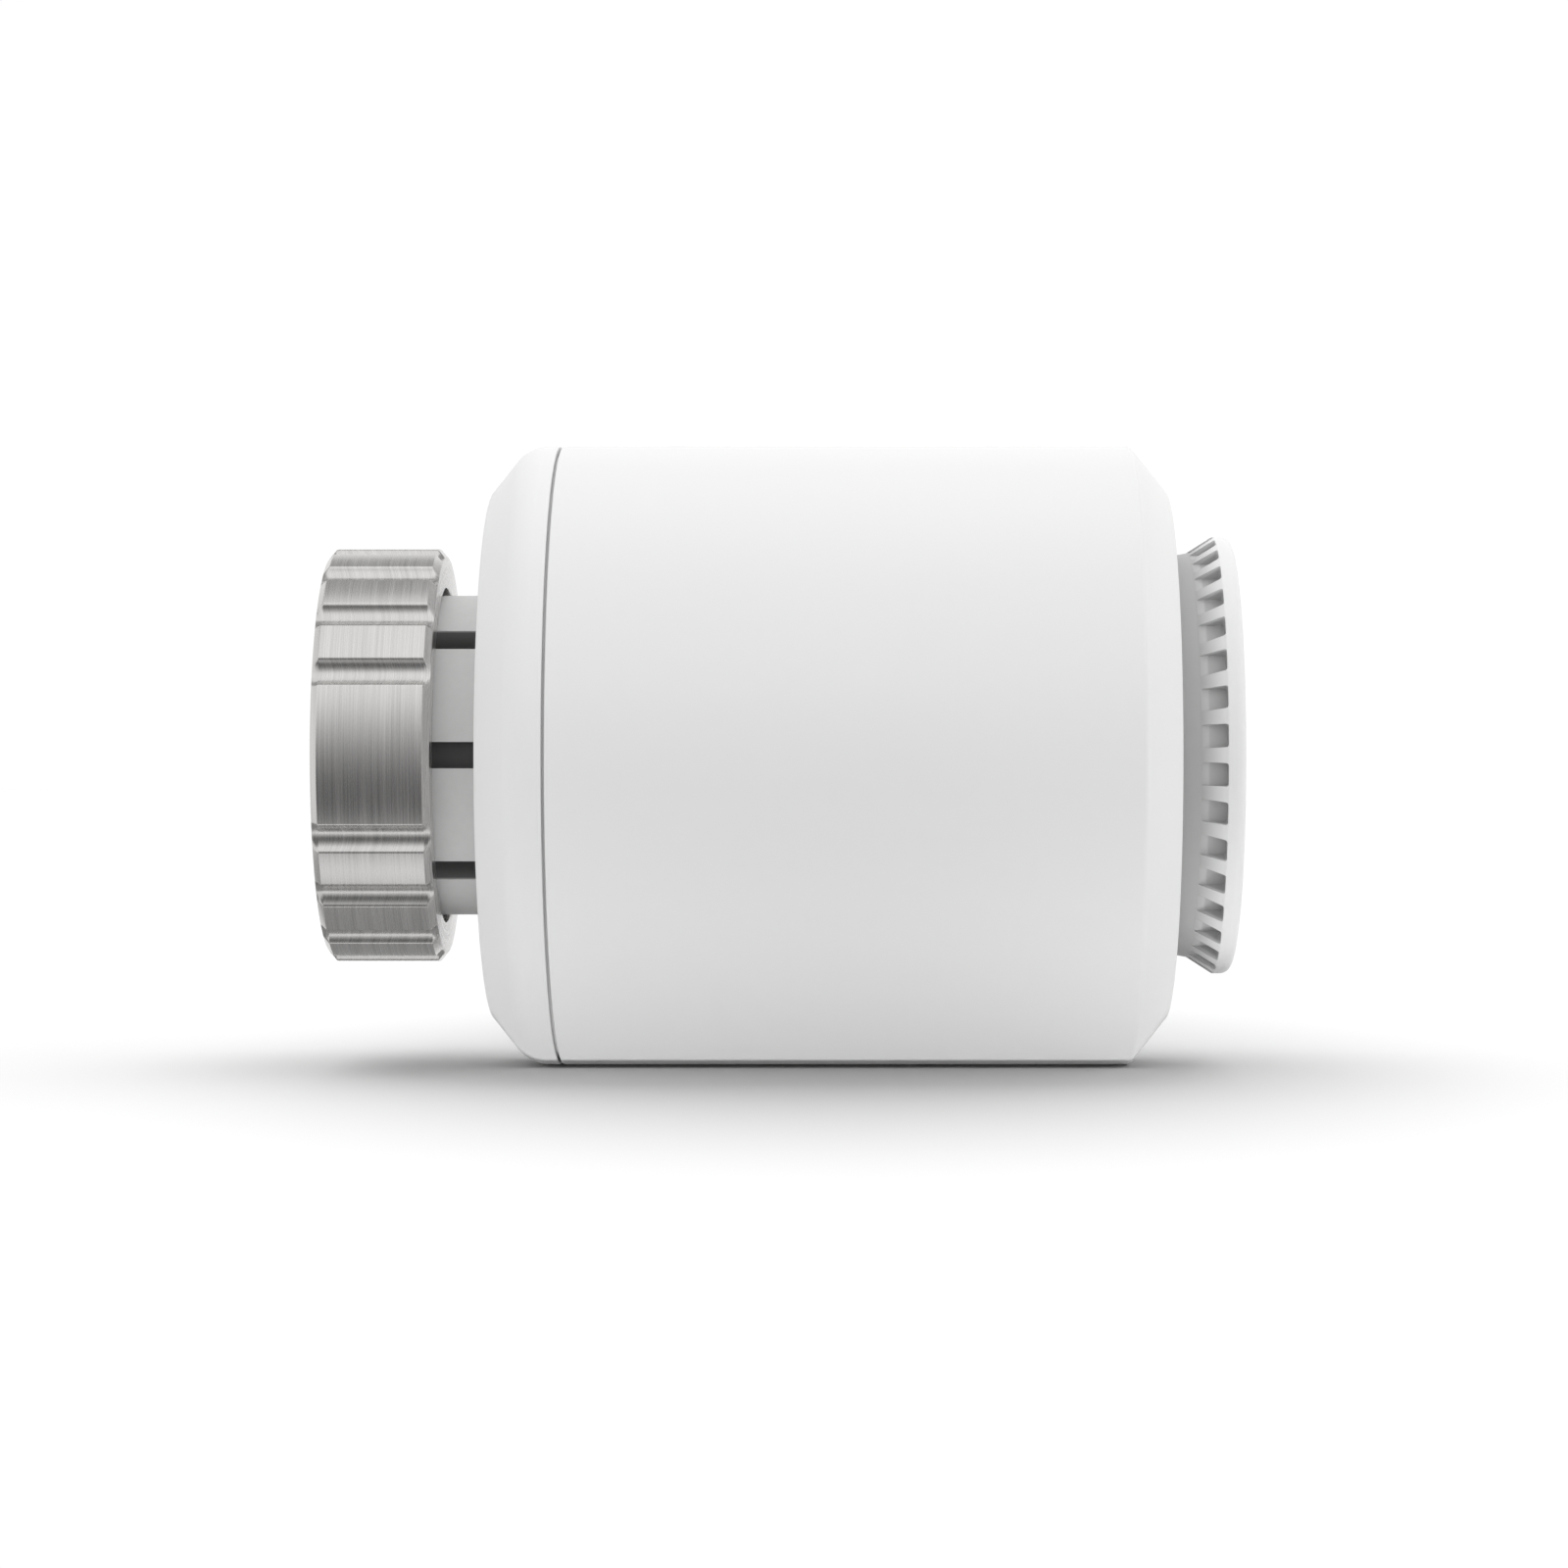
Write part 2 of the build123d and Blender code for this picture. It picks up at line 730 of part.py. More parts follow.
# ---- Motor ---------------------------------------------------------------------------------------------
motor_back = cover_end + motor_length
shaft_radius = axle_radius
shaft_start = third_wheel_start - touch_gap
shaft_end = cover_end + shaft_length_in_motor
with BuildPart() as motor_can:
    with BuildSketch(Plane.YZ.offset(cover_end)):
        with Locations(motor_centre):
            Circle(motor_radius)
            Rectangle(2 * motor_radius, 2 * motor_flat, mode=Mode.INTERSECT)
    extrude(amount=motor_length)
    chamfer(motor_can.edges().group_by(Axis.X)[-1], length=motor_bevel)
    slab(cover_end - motor_boss_length, cover_end, motor_boss_radius, [motor_centre])
    slab(
        cover_end - motor_boss_length,
        shaft_end + loose_fit,
        shaft_radius + running_fit,
        [motor_centre],
        Mode.SUBTRACT,
    )
save(motor_can.part, "motor_can")

terminal_start = motor_back + bell_length
with BuildPart() as motor_end_bell:
    with BuildSketch(Plane.YZ.offset(motor_back)):
        with Locations(motor_centre):
            Circle(motor_radius - bell_inset)
            Rectangle(2 * motor_radius, 2 * (motor_flat - bell_flat_inset), mode=Mode.INTERSECT)
    extrude(amount=bell_length)
    slab(motor_back, terminal_start + bell_hub_length, bell_hub_radius, [motor_centre])
save(motor_end_bell.part, "motor_end_bell")

terminal_centres = [
    (motor_centre[0], motor_centre[1] - terminal_spread),
    (motor_centre[0], motor_centre[1] + terminal_spread),
]
with BuildPart() as motor_terminals:
    block(
        terminal_start,
        terminal_start + terminal_length,
        terminal_thickness,
        terminal_width,
        terminal_centres,
    )
save(motor_terminals.part, "motor_terminals")

strip_end = motor_centre[0] - terminal_thickness / 2
with BuildPart() as motor_strips:
    block(
        terminal_start + terminal_hold,
        terminal_start + terminal_hold + terminal_thickness,
        strip_end - main_board_y,
        terminal_width,
        [((main_board_y + strip_end) / 2, centre[1]) for centre in terminal_centres],
    )
save(motor_strips.part, "motor_strips")

with BuildPart() as motor_shaft:
    slab(shaft_start, shaft_end, shaft_radius, [motor_centre])
save(motor_shaft.part, "motor_shaft")

pinion_end = third_wheel_end + loose_fit
with BuildPart() as motor_pinion:
    gear(
        shaft_start,
        pinion_end,
        motor_pinion_teeth,
        motor_centre,
        facing_gap(motor_direction, motor_pinion_teeth),
    )
    slab(shaft_start, pinion_end, shaft_radius, [motor_centre], Mode.SUBTRACT)
save(motor_pinion.part, "motor_pinion")

# ---- Battery holder: the cells lie against it, and are lifted out away from the axis --------------------
holder_start = cap_inside + touch_gap
holder_end = sleeve_inside - holder_gap
contact_start = holder_start + holder_wall
contact_side = 2 * (cell_radius - contact_margin)
cells_start = contact_start + contact_thickness
cells_end = cells_start + spring_length + cell_length
bridge_end = cells_end + contact_thickness
bridge_width = 2 * abs(cell_centres[0][0]) + contact_side
rear_plate_radius = spigot_bore - cap_inner_slope - loose_fit
end_space = sleeve_bore - slope_run * (holder_end - inner_corner) - 2 * part_gap
cell_height = cell_centres[0][1]
cradle_top = cell_height + cell_radius + cradle_rise
cradle_bottom = cell_height + cradle_depth
cradle_start = cover_end + screw_head_length + cradle_gap
cradle_width = 2 * (cell_radius + cradle_side - cell_centres[0][0])
upright_y = main_board_y + board_thickness
upright_top = terminal_centres[0][1] - terminal_width / 2 - upright_gap
board_start = cradle_start + board_inset
board_end = holder_end - board_setback
pin_block_end = board_end + pin_block_reach
pin_block_start = pin_block_end - pin_block_length
plate_top = cradle_top - plate_drop
rib_middle = cell_height - cell_radius + holder_rib_height / 2


def end_plate(start, end, radius, top):
    """The part of a round slab that lies below top."""
    with BuildSketch(Plane.YZ.offset(start)) as outline:
        Circle(radius)
        with Locations((0, top + radius)):
            Rectangle(2 * radius, 2 * radius, mode=Mode.SUBTRACT)
    extrude(outline.sketch, amount=end - start)


with BuildPart() as battery_holder:
    end_plate(holder_start, contact_start, rear_plate_radius, plate_top)
    slab(holder_start, contact_start, collar_back_radius + loose_fit, mode=Mode.SUBTRACT)
    end_plate(bridge_end, holder_end, min(spigot_bore, end_space), plate_top)
    block(
        cradle_start,
        holder_end,
        cradle_width,
        cradle_top - cradle_bottom,
        [(0, (cradle_top + cradle_bottom) / 2)],
    )
    block(contact_start, holder_end, holder_rib_width, holder_rib_height, [(0, rib_middle)])
    block(
        cradle_start,
        pin_block_start - loose_fit,
        upright_wall,
        upright_top - cradle_top + upright_root,
        [(upright_y + upright_wall / 2, (upright_top + cradle_top - upright_root) / 2)],
    )
    for place in window_places:
        block(
            cradle_start + place,
            cradle_start + place + window_length,
            4 * upright_wall,
            window_height,
            [(upright_y, window_middle)],
            Mode.SUBTRACT,
        )
    slab(contact_start, cells_end, cell_radius + cell_gap / 2, cell_centres, Mode.SUBTRACT)
    block(cells_end, bridge_end, bridge_width, contact_side, [(0, cell_height)], Mode.SUBTRACT)
    turned(
        [
            (holder_end - end_cut_lead, end_space + slope_run * end_cut_lead),
            (holder_end, end_space),
            (holder_end, end_space + slope_run * end_cut_lead),
        ],
        Mode.SUBTRACT,
    )
save(battery_holder.part, "battery_holder")

forward_nub_start = cells_end - cell_nub_length
reversed_nub_end = cells_start + cell_nub_length
with BuildPart() as battery_one:
    slab(cells_start + spring_length, forward_nub_start, cell_radius, [cell_centres[0]])
    slab(forward_nub_start, cells_end, cell_nub_radius, [cell_centres[0]])
save(battery_one.part, "battery_one")

with BuildPart() as battery_two:
    slab(cells_start, reversed_nub_end, cell_nub_radius, [cell_centres[1]])
    slab(reversed_nub_end, cells_start + cell_length, cell_radius, [cell_centres[1]])
save(battery_two.part, "battery_two")

with BuildPart() as rear_contacts:
    block(contact_start, cells_start, contact_side, contact_side, cell_centres)
save(rear_contacts.part, "rear_contacts")

with BuildPart() as bridge_contact:
    block(cells_end, bridge_end, bridge_width, contact_side, [(0, cell_height)])
save(bridge_contact.part, "bridge_contact")

# ---- Contact springs -----------------------------------------------------------------------------------

def contact_spring(start, centre):
    """A short coil of wire along X."""
    height = spring_length - 2 * (spring_wire_radius + running_fit)
    foot = (start + spring_wire_radius + running_fit, *centre)
    with BuildLine() as path:
        Helix(
            height / spring_turns, height, spring_coil_radius, center=foot, direction=(1, 0, 0)
        )
    with BuildSketch(Plane(origin=path.line @ 0, z_dir=path.line % 0)) as section:
        Circle(spring_wire_radius)
    sweep(section.sketch, path=path.line)


with BuildPart() as contact_springs:
    contact_spring(cells_start, cell_centres[0])
    contact_spring(cells_start + cell_length, cell_centres[1])
save(contact_springs.part, "contact_springs")

# ---- Main board and what is soldered on it -------------------------------------------------------------
board_face = main_board_y - board_thickness
board_bottom = cradle_top + board_rise
board_middle = board_bottom + board_height / 2


def board_box(along, length, up, height, depth):
    """A box on the main board's outer face, which looks along -Y."""
    with BuildSketch(Plane.XZ.offset(-board_face)) as outline:
        with Locations((board_start + along + length / 2, board_bottom + up + height / 2)):
            Rectangle(length, height)
    extrude(outline.sketch, amount=depth)


with BuildPart() as main_board:
    with BuildSketch(Plane.XZ.offset(-main_board_y)):
        with Locations(((board_start + board_end) / 2, board_middle)):
            RectangleRounded(board_end - board_start, board_height, board_corner)
    extrude(amount=board_thickness)
save(main_board.part, "main_board")

with BuildPart() as controller_chip:
    board_box(*controller_box)
save(controller_chip.part, "controller_chip")

with BuildPart() as radio_module:
    board_box(*radio_box)
    fillet(radio_module.edges().group_by(Axis.Y)[0], radius=can_round)
save(radio_module.part, "radio_module")

with BuildPart() as small_chips:
    for column in range(small_chip_columns):
        small_chip_along = small_chip_start + small_chip_pitch * column
        for row in small_chip_rows:
            board_box(small_chip_along, small_chip_length, row, small_chip_height, small_chip_depth)
    for column in range(tall_chip_columns):
        board_box(tall_chip_box[0] + tall_chip_pitch * column, *tall_chip_box[1:])
save(small_chips.part, "small_chips")

with BuildPart() as capacitor:
    with BuildSketch(Plane.XZ.offset(-board_face)):
        with Locations((board_start + capacitor_along, board_bottom + capacitor_up)):
            Circle(capacitor_radius)
    extrude(amount=capacitor_length)
    fillet(capacitor.edges().group_by(Axis.Y)[0], radius=can_round)
save(capacitor.part, "capacitor")

with BuildPart() as temperature_sensor:
    board_box(*sensor_box)
save(temperature_sensor.part, "temperature_sensor")

# ---- Spring pins that feed the front board -------------------------------------------------------------
small_board_start = sleeve_inside + board_gap
feed_tip_start = small_board_start - touch_gap - feed_tip_length
feed_y = main_board_y + feed_side
feed_centres = [(feed_y, feed_top - feed_pitch * place) for place in range(feed_pins)]
with BuildPart() as pin_block:
    block(
        pin_block_start,
        pin_block_end,
        pin_block_width,
        feed_pins * feed_pitch + 2 * loose_fit,
        [(feed_y, feed_top - (feed_pins - 1) * feed_pitch / 2)],
    )
save(pin_block.part, "pin_block")

with BuildPart() as spring_pins:
    slab(pin_block_end, feed_tip_start, feed_radius, feed_centres)
    slab(feed_tip_start, feed_tip_start + feed_tip_length, feed_tip_radius, feed_centres)
save(spring_pins.part, "spring_pins")

# ---- Front board, in the sleeve's hub ------------------------------------------------------------------
small_board_end = small_board_start + board_thickness
switch_centres = [(0, switch_height)]
skirt_radius = lens_radius - button_skirt_inset
skirt_bore = skirt_radius - button_skirt_wall
with BuildPart() as front_board:
    slab(small_board_start, small_board_end, hub_bore - touch_gap)
save(front_board.part, "front_board")

with BuildPart() as display_module:
    block(
        small_board_end,
        small_board_end + display_length,
        display_width,
        display_size,
        [(0, display_height)],
    )
save(display_module.part, "display_module")

switch_end = small_board_end + switch_length
with BuildPart() as push_switch:
    block(small_board_end, switch_end, switch_side, switch_side, switch_centres)
    slab(
        small_board_end + switch_bore_floor,
        switch_end,
        switch_radius + running_fit,
        switch_centres,
        Mode.SUBTRACT,
    )
save(push_switch.part, "push_switch")

plunger_end = switch_end + button_travel + plunger_height
with BuildPart() as switch_plunger:
    slab(switch_end - plunger_depth, plunger_end, switch_radius, switch_centres)
save(switch_plunger.part, "switch_plunger")

hall_centres = [beside(axis_centre, skirt_bore - hall_margin, turn) for turn in hall_directions]
with BuildPart() as hall_sensors:
    block(small_board_end, small_board_end + hall_length, hall_width, hall_height, hall_centres)
save(hall_sensors.part, "hall_sensors")

# ---- Button in the middle of the dial ------------------------------------------------------------------
button_radius = hub_bore - loose_fit
button_front = dial_front - button_recess
button_plate_end = button_front - lens_length
button_plate_start = button_plate_end - button_floor
carrier_end = button_plate_start - button_travel - touch_gap
skirt_start = small_board_end + button_travel + 2 * loose_fit
with BuildPart() as button_cap:
    slab(button_plate_start, button_front, button_radius)
    fillet(button_cap.edges().group_by(Axis.X)[-1], radius=button_round)
    slab(button_plate_end, button_front, lens_radius, mode=Mode.SUBTRACT)
    turned(ring_points(skirt_start, button_plate_start, skirt_radius, skirt_bore))
    block(
        button_plate_start,
        button_plate_end,
        button_window_width,
        button_window_height,
        [(0, display_height)],
        Mode.SUBTRACT,
    )
    block(
        plunger_end + slip,
        button_plate_start,
        button_foot_side,
        button_foot_side,
        switch_centres,
    )
save(button_cap.part, "button_cap")

with BuildPart() as display_lens:
    slab(button_plate_end, button_front - lens_recess, lens_radius - running_fit)
    fillet(display_lens.edges().group_by(Axis.X)[-1], radius=button_round)
save(display_lens.part, "display_lens")

# ---- Carrier ring: it clamps the front board and guides the button -------------------------------------
carrier_bore = skirt_radius + running_fit
carrier_screw_end = small_board_end + carrier_screw_length
carrier_screw_circle = (carrier_bore + hub_bore) / 2
carrier_screw_centres = [
    beside(axis_centre, carrier_screw_circle, turn) for turn in carrier_screw_directions
]
with BuildPart() as button_carrier:
    turned(ring_points(small_board_end, carrier_end, hub_bore - slip, carrier_bore))
    slab(
        small_board_end,
        carrier_screw_end,
        carrier_screw_radius,
        carrier_screw_centres,
        Mode.SUBTRACT,
    )
save(button_carrier.part, "button_carrier")

with BuildPart() as carrier_screws:
    slab(small_board_end, carrier_screw_end, carrier_screw_radius, carrier_screw_centres)
save(carrier_screws.part, "carrier_screws")

# ---- Dial ring -----------------------------------------------------------------------------------------
washer_bore = hub_radius + loose_fit
washer_radius = hub_radius + washer_width
washer_end = dial_back + washer_length
magnet_radius = hub_radius + loose_fit + magnet_ring_wall
magnet_start = lip_start - magnet_ring_length
dial_groove_start = snap_groove_start + touch_gap
dial_groove_end = dial_groove_start + snap_ring_length
snap_ring_radius = dial_bore + snap_ring_reach
with BuildPart() as dial_ring:
    with BuildSketch(Plane.XY) as dial_profile:
        with BuildLine():
            Polyline(
                (dial_back, washer_radius + part_gap),
                (dial_back, dial_neck_radius),
                (flare_start, dial_flare_radius),
                (rim_start, dial_radius),
                (dial_front, dial_radius),
                (dial_front, dial_lip_bore),
                (lip_start, dial_lip_bore),
                (lip_start, magnet_radius),
                (magnet_start, magnet_radius),
                (magnet_start, dial_bore),
                (dial_groove_end, dial_bore),
                (dial_groove_end, snap_ring_radius),
                (dial_groove_start, snap_ring_radius),
                (dial_groove_start, dial_bore),
                (washer_end, dial_bore),
                (washer_end, washer_radius + part_gap),
                close=True,
            )
        make_face()
        fillet(
            dial_profile.vertices().sort_by_distance((dial_front, dial_radius))[0],
            radius=dial_rim_round,
        )
        fillet(
            dial_profile.vertices().sort_by_distance((dial_front, dial_lip_bore))[0],
            radius=dial_lip_round,
        )
    revolve(axis=Axis.X)
    with BuildSketch(Plane.YZ.offset(flare_start)):
        with PolarLocations(dial_radius, pocket_count, start_angle=180 / pocket_count):
            Rectangle(2 * (dial_radius - dial_flare_radius), pocket_width)
    extrude(amount=dial_flare_length, mode=Mode.SUBTRACT)
save(dial_ring.part, "dial_ring")

with BuildPart() as dial_washer:
    turned(ring_points(body_back, washer_end - running_fit, washer_radius, washer_bore))
save(dial_washer.part, "dial_washer")

with BuildPart() as snap_ring:
    turned(
        ring_points(
            dial_groove_start, dial_groove_end, snap_ring_radius, snap_groove_radius + touch_gap
        )
    )
    block(
        dial_groove_start,
        dial_groove_end,
        4 * snap_ring_reach,
        snap_ring_opening,
        [(-hub_radius, 0)],
        Mode.SUBTRACT,
    )
save(snap_ring.part, "snap_ring")

with BuildPart() as magnet_ring:
    turned(ring_points(magnet_start, lip_start, magnet_radius, hub_radius + loose_fit))
save(magnet_ring.part, "magnet_ring")
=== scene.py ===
import json
import math

import bmesh
import bpy
from mathutils import Matrix, Vector


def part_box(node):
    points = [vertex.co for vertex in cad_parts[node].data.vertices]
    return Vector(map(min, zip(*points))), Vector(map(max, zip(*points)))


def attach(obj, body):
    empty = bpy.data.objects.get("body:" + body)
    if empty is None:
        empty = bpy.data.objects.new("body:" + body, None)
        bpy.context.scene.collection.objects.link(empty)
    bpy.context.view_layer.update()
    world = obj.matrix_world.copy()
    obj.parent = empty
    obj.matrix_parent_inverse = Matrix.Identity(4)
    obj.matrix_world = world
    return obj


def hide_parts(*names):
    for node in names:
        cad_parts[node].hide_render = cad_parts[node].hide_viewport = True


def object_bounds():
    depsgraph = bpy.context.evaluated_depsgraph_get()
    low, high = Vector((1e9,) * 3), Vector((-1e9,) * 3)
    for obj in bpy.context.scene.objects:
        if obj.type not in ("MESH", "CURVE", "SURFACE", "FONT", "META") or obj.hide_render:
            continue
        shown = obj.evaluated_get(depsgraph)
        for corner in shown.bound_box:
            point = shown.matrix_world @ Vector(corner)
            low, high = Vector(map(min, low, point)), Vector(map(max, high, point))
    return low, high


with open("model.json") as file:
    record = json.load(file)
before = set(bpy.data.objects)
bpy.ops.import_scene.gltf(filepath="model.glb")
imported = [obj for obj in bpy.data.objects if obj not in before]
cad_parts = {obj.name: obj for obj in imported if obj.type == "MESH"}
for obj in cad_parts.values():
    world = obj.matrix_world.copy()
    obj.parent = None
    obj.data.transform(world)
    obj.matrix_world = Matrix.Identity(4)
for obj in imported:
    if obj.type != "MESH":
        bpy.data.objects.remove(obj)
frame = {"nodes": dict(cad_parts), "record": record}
cad_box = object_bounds()

MM = 0.001  # shapes are made in millimetres and finished in metres
scene = bpy.context.scene

# ---- Camera: level with the head's axis, looking along +Y ----------------------------------------------
CAMERA_PLACE = (45.5, -400.0, 0.0)
LENS = 102.9
SENSOR = 36.0
SHIFT = (-0.045, -0.0184)


def camera():
    """A long lens that stands level with the head."""
    eye = bpy.data.cameras.new("camera")
    eye.lens = LENS
    eye.sensor_width = SENSOR
    eye.shift_x, eye.shift_y = SHIFT
    eye.clip_start = 10 * MM
    eye.clip_end = 100.0
    view = bpy.data.objects.new("camera", eye)
    view.location = Vector(CAMERA_PLACE) * MM
    view.rotation_euler = (math.radians(90), 0, 0)
    scene.collection.objects.link(view)
    scene.camera = view


camera()


# ---- Node helpers --------------------------------------------------------------------------------------
class Value:
    """A number socket, which Python's operators join to others with Math nodes."""

    def __init__(self, paint, socket):
        self.paint = paint
        self.socket = socket

    def math(self, operation, *others):
        """The result of one Math node on this value and the others."""
        inputs = dict(enumerate((self, *others)))
        return self.paint.value("ShaderNodeMath", {"operation": operation}, inputs)

    def __add__(self, other):
        return self.math("ADD", other)

    def __sub__(self, other):
        return self.math("SUBTRACT", other)

    def __rsub__(self, other):
        return self.paint.value("ShaderNodeMath", {"operation": "SUBTRACT"}, {0: other, 1: self})

    def __mul__(self, other):
        return self.math("MULTIPLY", other)

    def __gt__(self, other):
        return self.math("GREATER_THAN", other)

    def __lt__(self, other):
        return self.math("LESS_THAN", other)

    __radd__ = __add__
    __rmul__ = __mul__

    def clamped(self, low, high):
        """This value, held between two others."""
        return self.math("MAXIMUM", low).math("MINIMUM", high)


class Paint:
    """A node tree with short ways to add nodes."""

    def __init__(self, tree):
        self.tree = tree

    def node(self, kind, settings=None, inputs=None):
        """A node of a kind, with its settings made first and then its sockets fed."""
        node = self.tree.nodes.new(kind)
        for name, setting in (settings or {}).items():
            if name == "stops":
                for place, (position, colour) in enumerate(setting):
                    ramp = node.color_ramp.elements
                    stop = ramp[place] if place < len(ramp) else ramp.new(position)
                    stop.position = position
                    stop.color = colour
            else:
                setattr(node, name, setting)
        for name, given in (inputs or {}).items():
            self.feed(node.inputs[name], given)
        return node

    def value(self, kind, settings=None, inputs=None):
        """The number that a new node gives."""
        return Value(self, self.node(kind, settings, inputs).outputs[0])

    def feed(self, socket, given):
        """Sets a socket to a value, or links it."""
        if isinstance(given, Value):
            self.tree.links.new(given.socket, socket)
        elif isinstance(given, bpy.types.NodeSocket):
            self.tree.links.new(given, socket)
        else:
            socket.default_value = given

    def place(self):
        """Where a point is on its piece, in metres."""
        return self.node("ShaderNodeTexCoord").outputs["Object"]

    def along(self, place):
        """The three coordinates of a place."""
        split = self.node("ShaderNodeSeparateXYZ", inputs={0: place})
        return [Value(self, split.outputs[name]) for name in "XYZ"]

    def stretched(self, scale):
        """The place with each axis scaled, so that a pattern is drawn out along the small ones."""
        inputs = {"Vector": self.place(), "Scale": scale}
        return self.node("ShaderNodeMapping", inputs=inputs).outputs[0]

    def noise(self, scale, detail=2.0, place=None):
        """A soft random pattern from 0 to 1, with features of about 1 / scale metres."""
        inputs = {"Vector": place or self.place(), "Scale": scale, "Detail": detail}
        return self.value("ShaderNodeTexNoise", inputs=inputs)

    def mixed(self, share, one, other):
        """A colour between two others."""
        settings = {"data_type": "RGBA"}
        mix = self.node("ShaderNodeMix", settings, {0: share, 6: one, 7: other})
        return mix.outputs[2]


class Finish(Paint):
    """A material on one Principled shader."""

    def __init__(self, name, **constants):
        self.material = bpy.data.materials.new(name)
        self.material.use_nodes = True
        super().__init__(self.material.node_tree)
        self.shader = self.tree.nodes["Principled BSDF"]
        for socket, constant in constants.items():
            self.shader.inputs[socket.replace("_", " ")].default_value = constant

    def colour(self, given):
        self.feed(self.shader.inputs["Base Color"], given)

    def roughness(self, given):
        self.feed(self.shader.inputs["Roughness"], given)

    def bump(self, height, depth):
        """Raises the surface by up to depth millimetres where height is 1."""
        inputs = {"Height": height, "Distance": depth * MM, "Strength": 1.0}
        bumped = self.node("ShaderNodeBump", inputs=inputs)
        self.feed(self.shader.inputs["Normal"], bumped.outputs[0])


def grey(tone, warmth=0.0):
    """A near-neutral colour, a little warmer or cooler."""
    return (tone * (1 + warmth), tone, tone * (1 - warmth), 1.0)


# ---- Finishes ------------------------------------------------------------------------------------------
COLLAR_NECK = 14.23  # radius of the collar between the nut and the housing
DIAL_FLARE_RADIUS = 18.0  # the dial's grip starts at this radius,
DIAL_FLARE_LENGTH = 2.25  # widens over this length,
DIAL_FLARE_SLOPE = 0.644  # by this much for each millimetre,
DIAL_FLARE_END = 77.3  # and meets the rim here along the axis
GRAIN = 1500.0  # how fine the moulds' spark-eroded grain is, per metre


def moulded(name, tone, sheen, depth, warmth=0.0, grain=GRAIN, variation=0.02):
    """Moulded plastic with a fine spark-eroded grain and faint flow marks."""
    paint = Finish(name)
    flow = paint.noise(scale=35.0, detail=3.0)
    texture = paint.noise(grain, detail=4.0)
    share = 0.7 * flow + 0.3 * texture
    paint.colour(paint.mixed(share, grey(tone - variation, warmth), grey(tone + variation, warmth)))
    paint.roughness((sheen - 0.06) + 0.12 * texture)
    paint.bump(texture, depth)
    return paint.material


def brushed_round(name, tone, warmth, low, high):
    """Metal brushed round the head's axis: fine rings, each of which fades and comes back."""
    paint = Finish(name, Metallic=1.0)
    along, across, up = paint.along(paint.place())
    reach = (across * across + up * up).math("SQRT")

    def rings(per_length, per_reach, sway):
        """Noise that changes fast along the head and outwards, and slowly round it."""
        inputs = {
            0: along * per_length + reach * per_reach,
            1: across.math("DIVIDE", reach) * sway,
            2: up.math("DIVIDE", reach) * sway,
        }
        ringed = paint.node("ShaderNodeCombineXYZ", inputs=inputs).outputs[0]
        return paint.noise(1.0, place=ringed)

    fine = rings(13000.0, 6000.0, 1.6)
    broad = rings(2600.0, 1200.0, 1.1)
    streak = 0.65 * fine + 0.35 * broad
    crisp = ((streak - 0.5) * 2.0 + 0.5).clamped(0.0, 1.0)
    dark, bright = grey(tone * 0.78, warmth), grey(tone * 1.18, warmth)
    paint.colour(paint.mixed(crisp, dark, bright))
    paint.roughness(low + (high - low) * crisp)
    paint.bump(fine, depth=0.004)
    return paint.material


def reach_of(paint):
    """How far a point is from the head's axis, in millimetres, and how far along it."""
    along, across, up = paint.along(paint.place())
    return (across * across + up * up).math("SQRT") * (1 / MM), along * (1 / MM)


def collar_plastic():
    """Grained light grey plastic, with painted shade darkening the walls of its slots and its bore."""
    paint = Finish("collar_plastic")
    reach, _ = reach_of(paint)
    skin, fade = 0.08, 6.0
    # Painted shade: further in than the neck's skin, the colour is mixed towards dark grey for the shade
    # on the slots' walls and in the bore.
    deep = ((COLLAR_NECK - skin - reach) * fade).clamped(0.0, 1.0)
    grain = paint.noise(scale=1300.0, detail=4.0)
    light = paint.mixed(grain, grey(0.62, 0.004), grey(0.68, 0.004))
    paint.colour(paint.mixed(deep * 0.8, light, grey(0.10)))
    paint.roughness(0.46 + 0.14 * grain)
    paint.bump(grain, depth=0.014)
    return paint.material


def dial_plastic():
    """The dial's white plastic, with painted shade greying the neck and the pockets."""
    paint = Finish("dial_plastic")
    reach, along = reach_of(paint)
    neck_fade, pocket_fade = 0.5, 2.5
    # Painted shade: the neck darkens towards the housing and each pocket darkens below the flare, where
    # shade falls; both mix the white towards grey(0.24).
    neck = ((DIAL_FLARE_END - 0.3 - along) * neck_fade).clamped(0.0, 1.0)
    flare = DIAL_FLARE_RADIUS + (along - (DIAL_FLARE_END - DIAL_FLARE_LENGTH)) * DIAL_FLARE_SLOPE
    below_rim = along < DIAL_FLARE_END + 0.02
    pocket = ((flare - 0.1 - reach) * pocket_fade).clamped(0.0, 1.0) * below_rim
    painted_shade = (neck * 0.64).math("MAXIMUM", pocket * 0.60)
    grain = paint.noise(GRAIN, detail=4.0)
    white = paint.mixed(grain, grey(0.707), grey(0.723))
    paint.colour(paint.mixed(painted_shade, white, grey(0.24)))
    paint.roughness(0.42 + 0.12 * grain)
    paint.bump(grain, depth=0.005)
    return paint.material


def metal(name, colour, low, high, scale=(1.0, 1.0, 1.0)):
    """Metal with a drawn, rolled or turned grain, drawn out along the axes whose scale is small."""
    paint = Finish(name, Metallic=1.0)
    grain = paint.noise(4000.0, 3.0, paint.stretched(scale))
    haze = paint.noise(scale=220.0)
    wear = 0.6 * grain + 0.4 * haze
    dark = tuple(0.82 * part for part in colour[:3]) + (1.0,)
    paint.colour(paint.mixed(wear, dark, colour))
    paint.roughness(low + (high - low) * wear)
    paint.bump(grain, depth=0.002)
    return paint.material


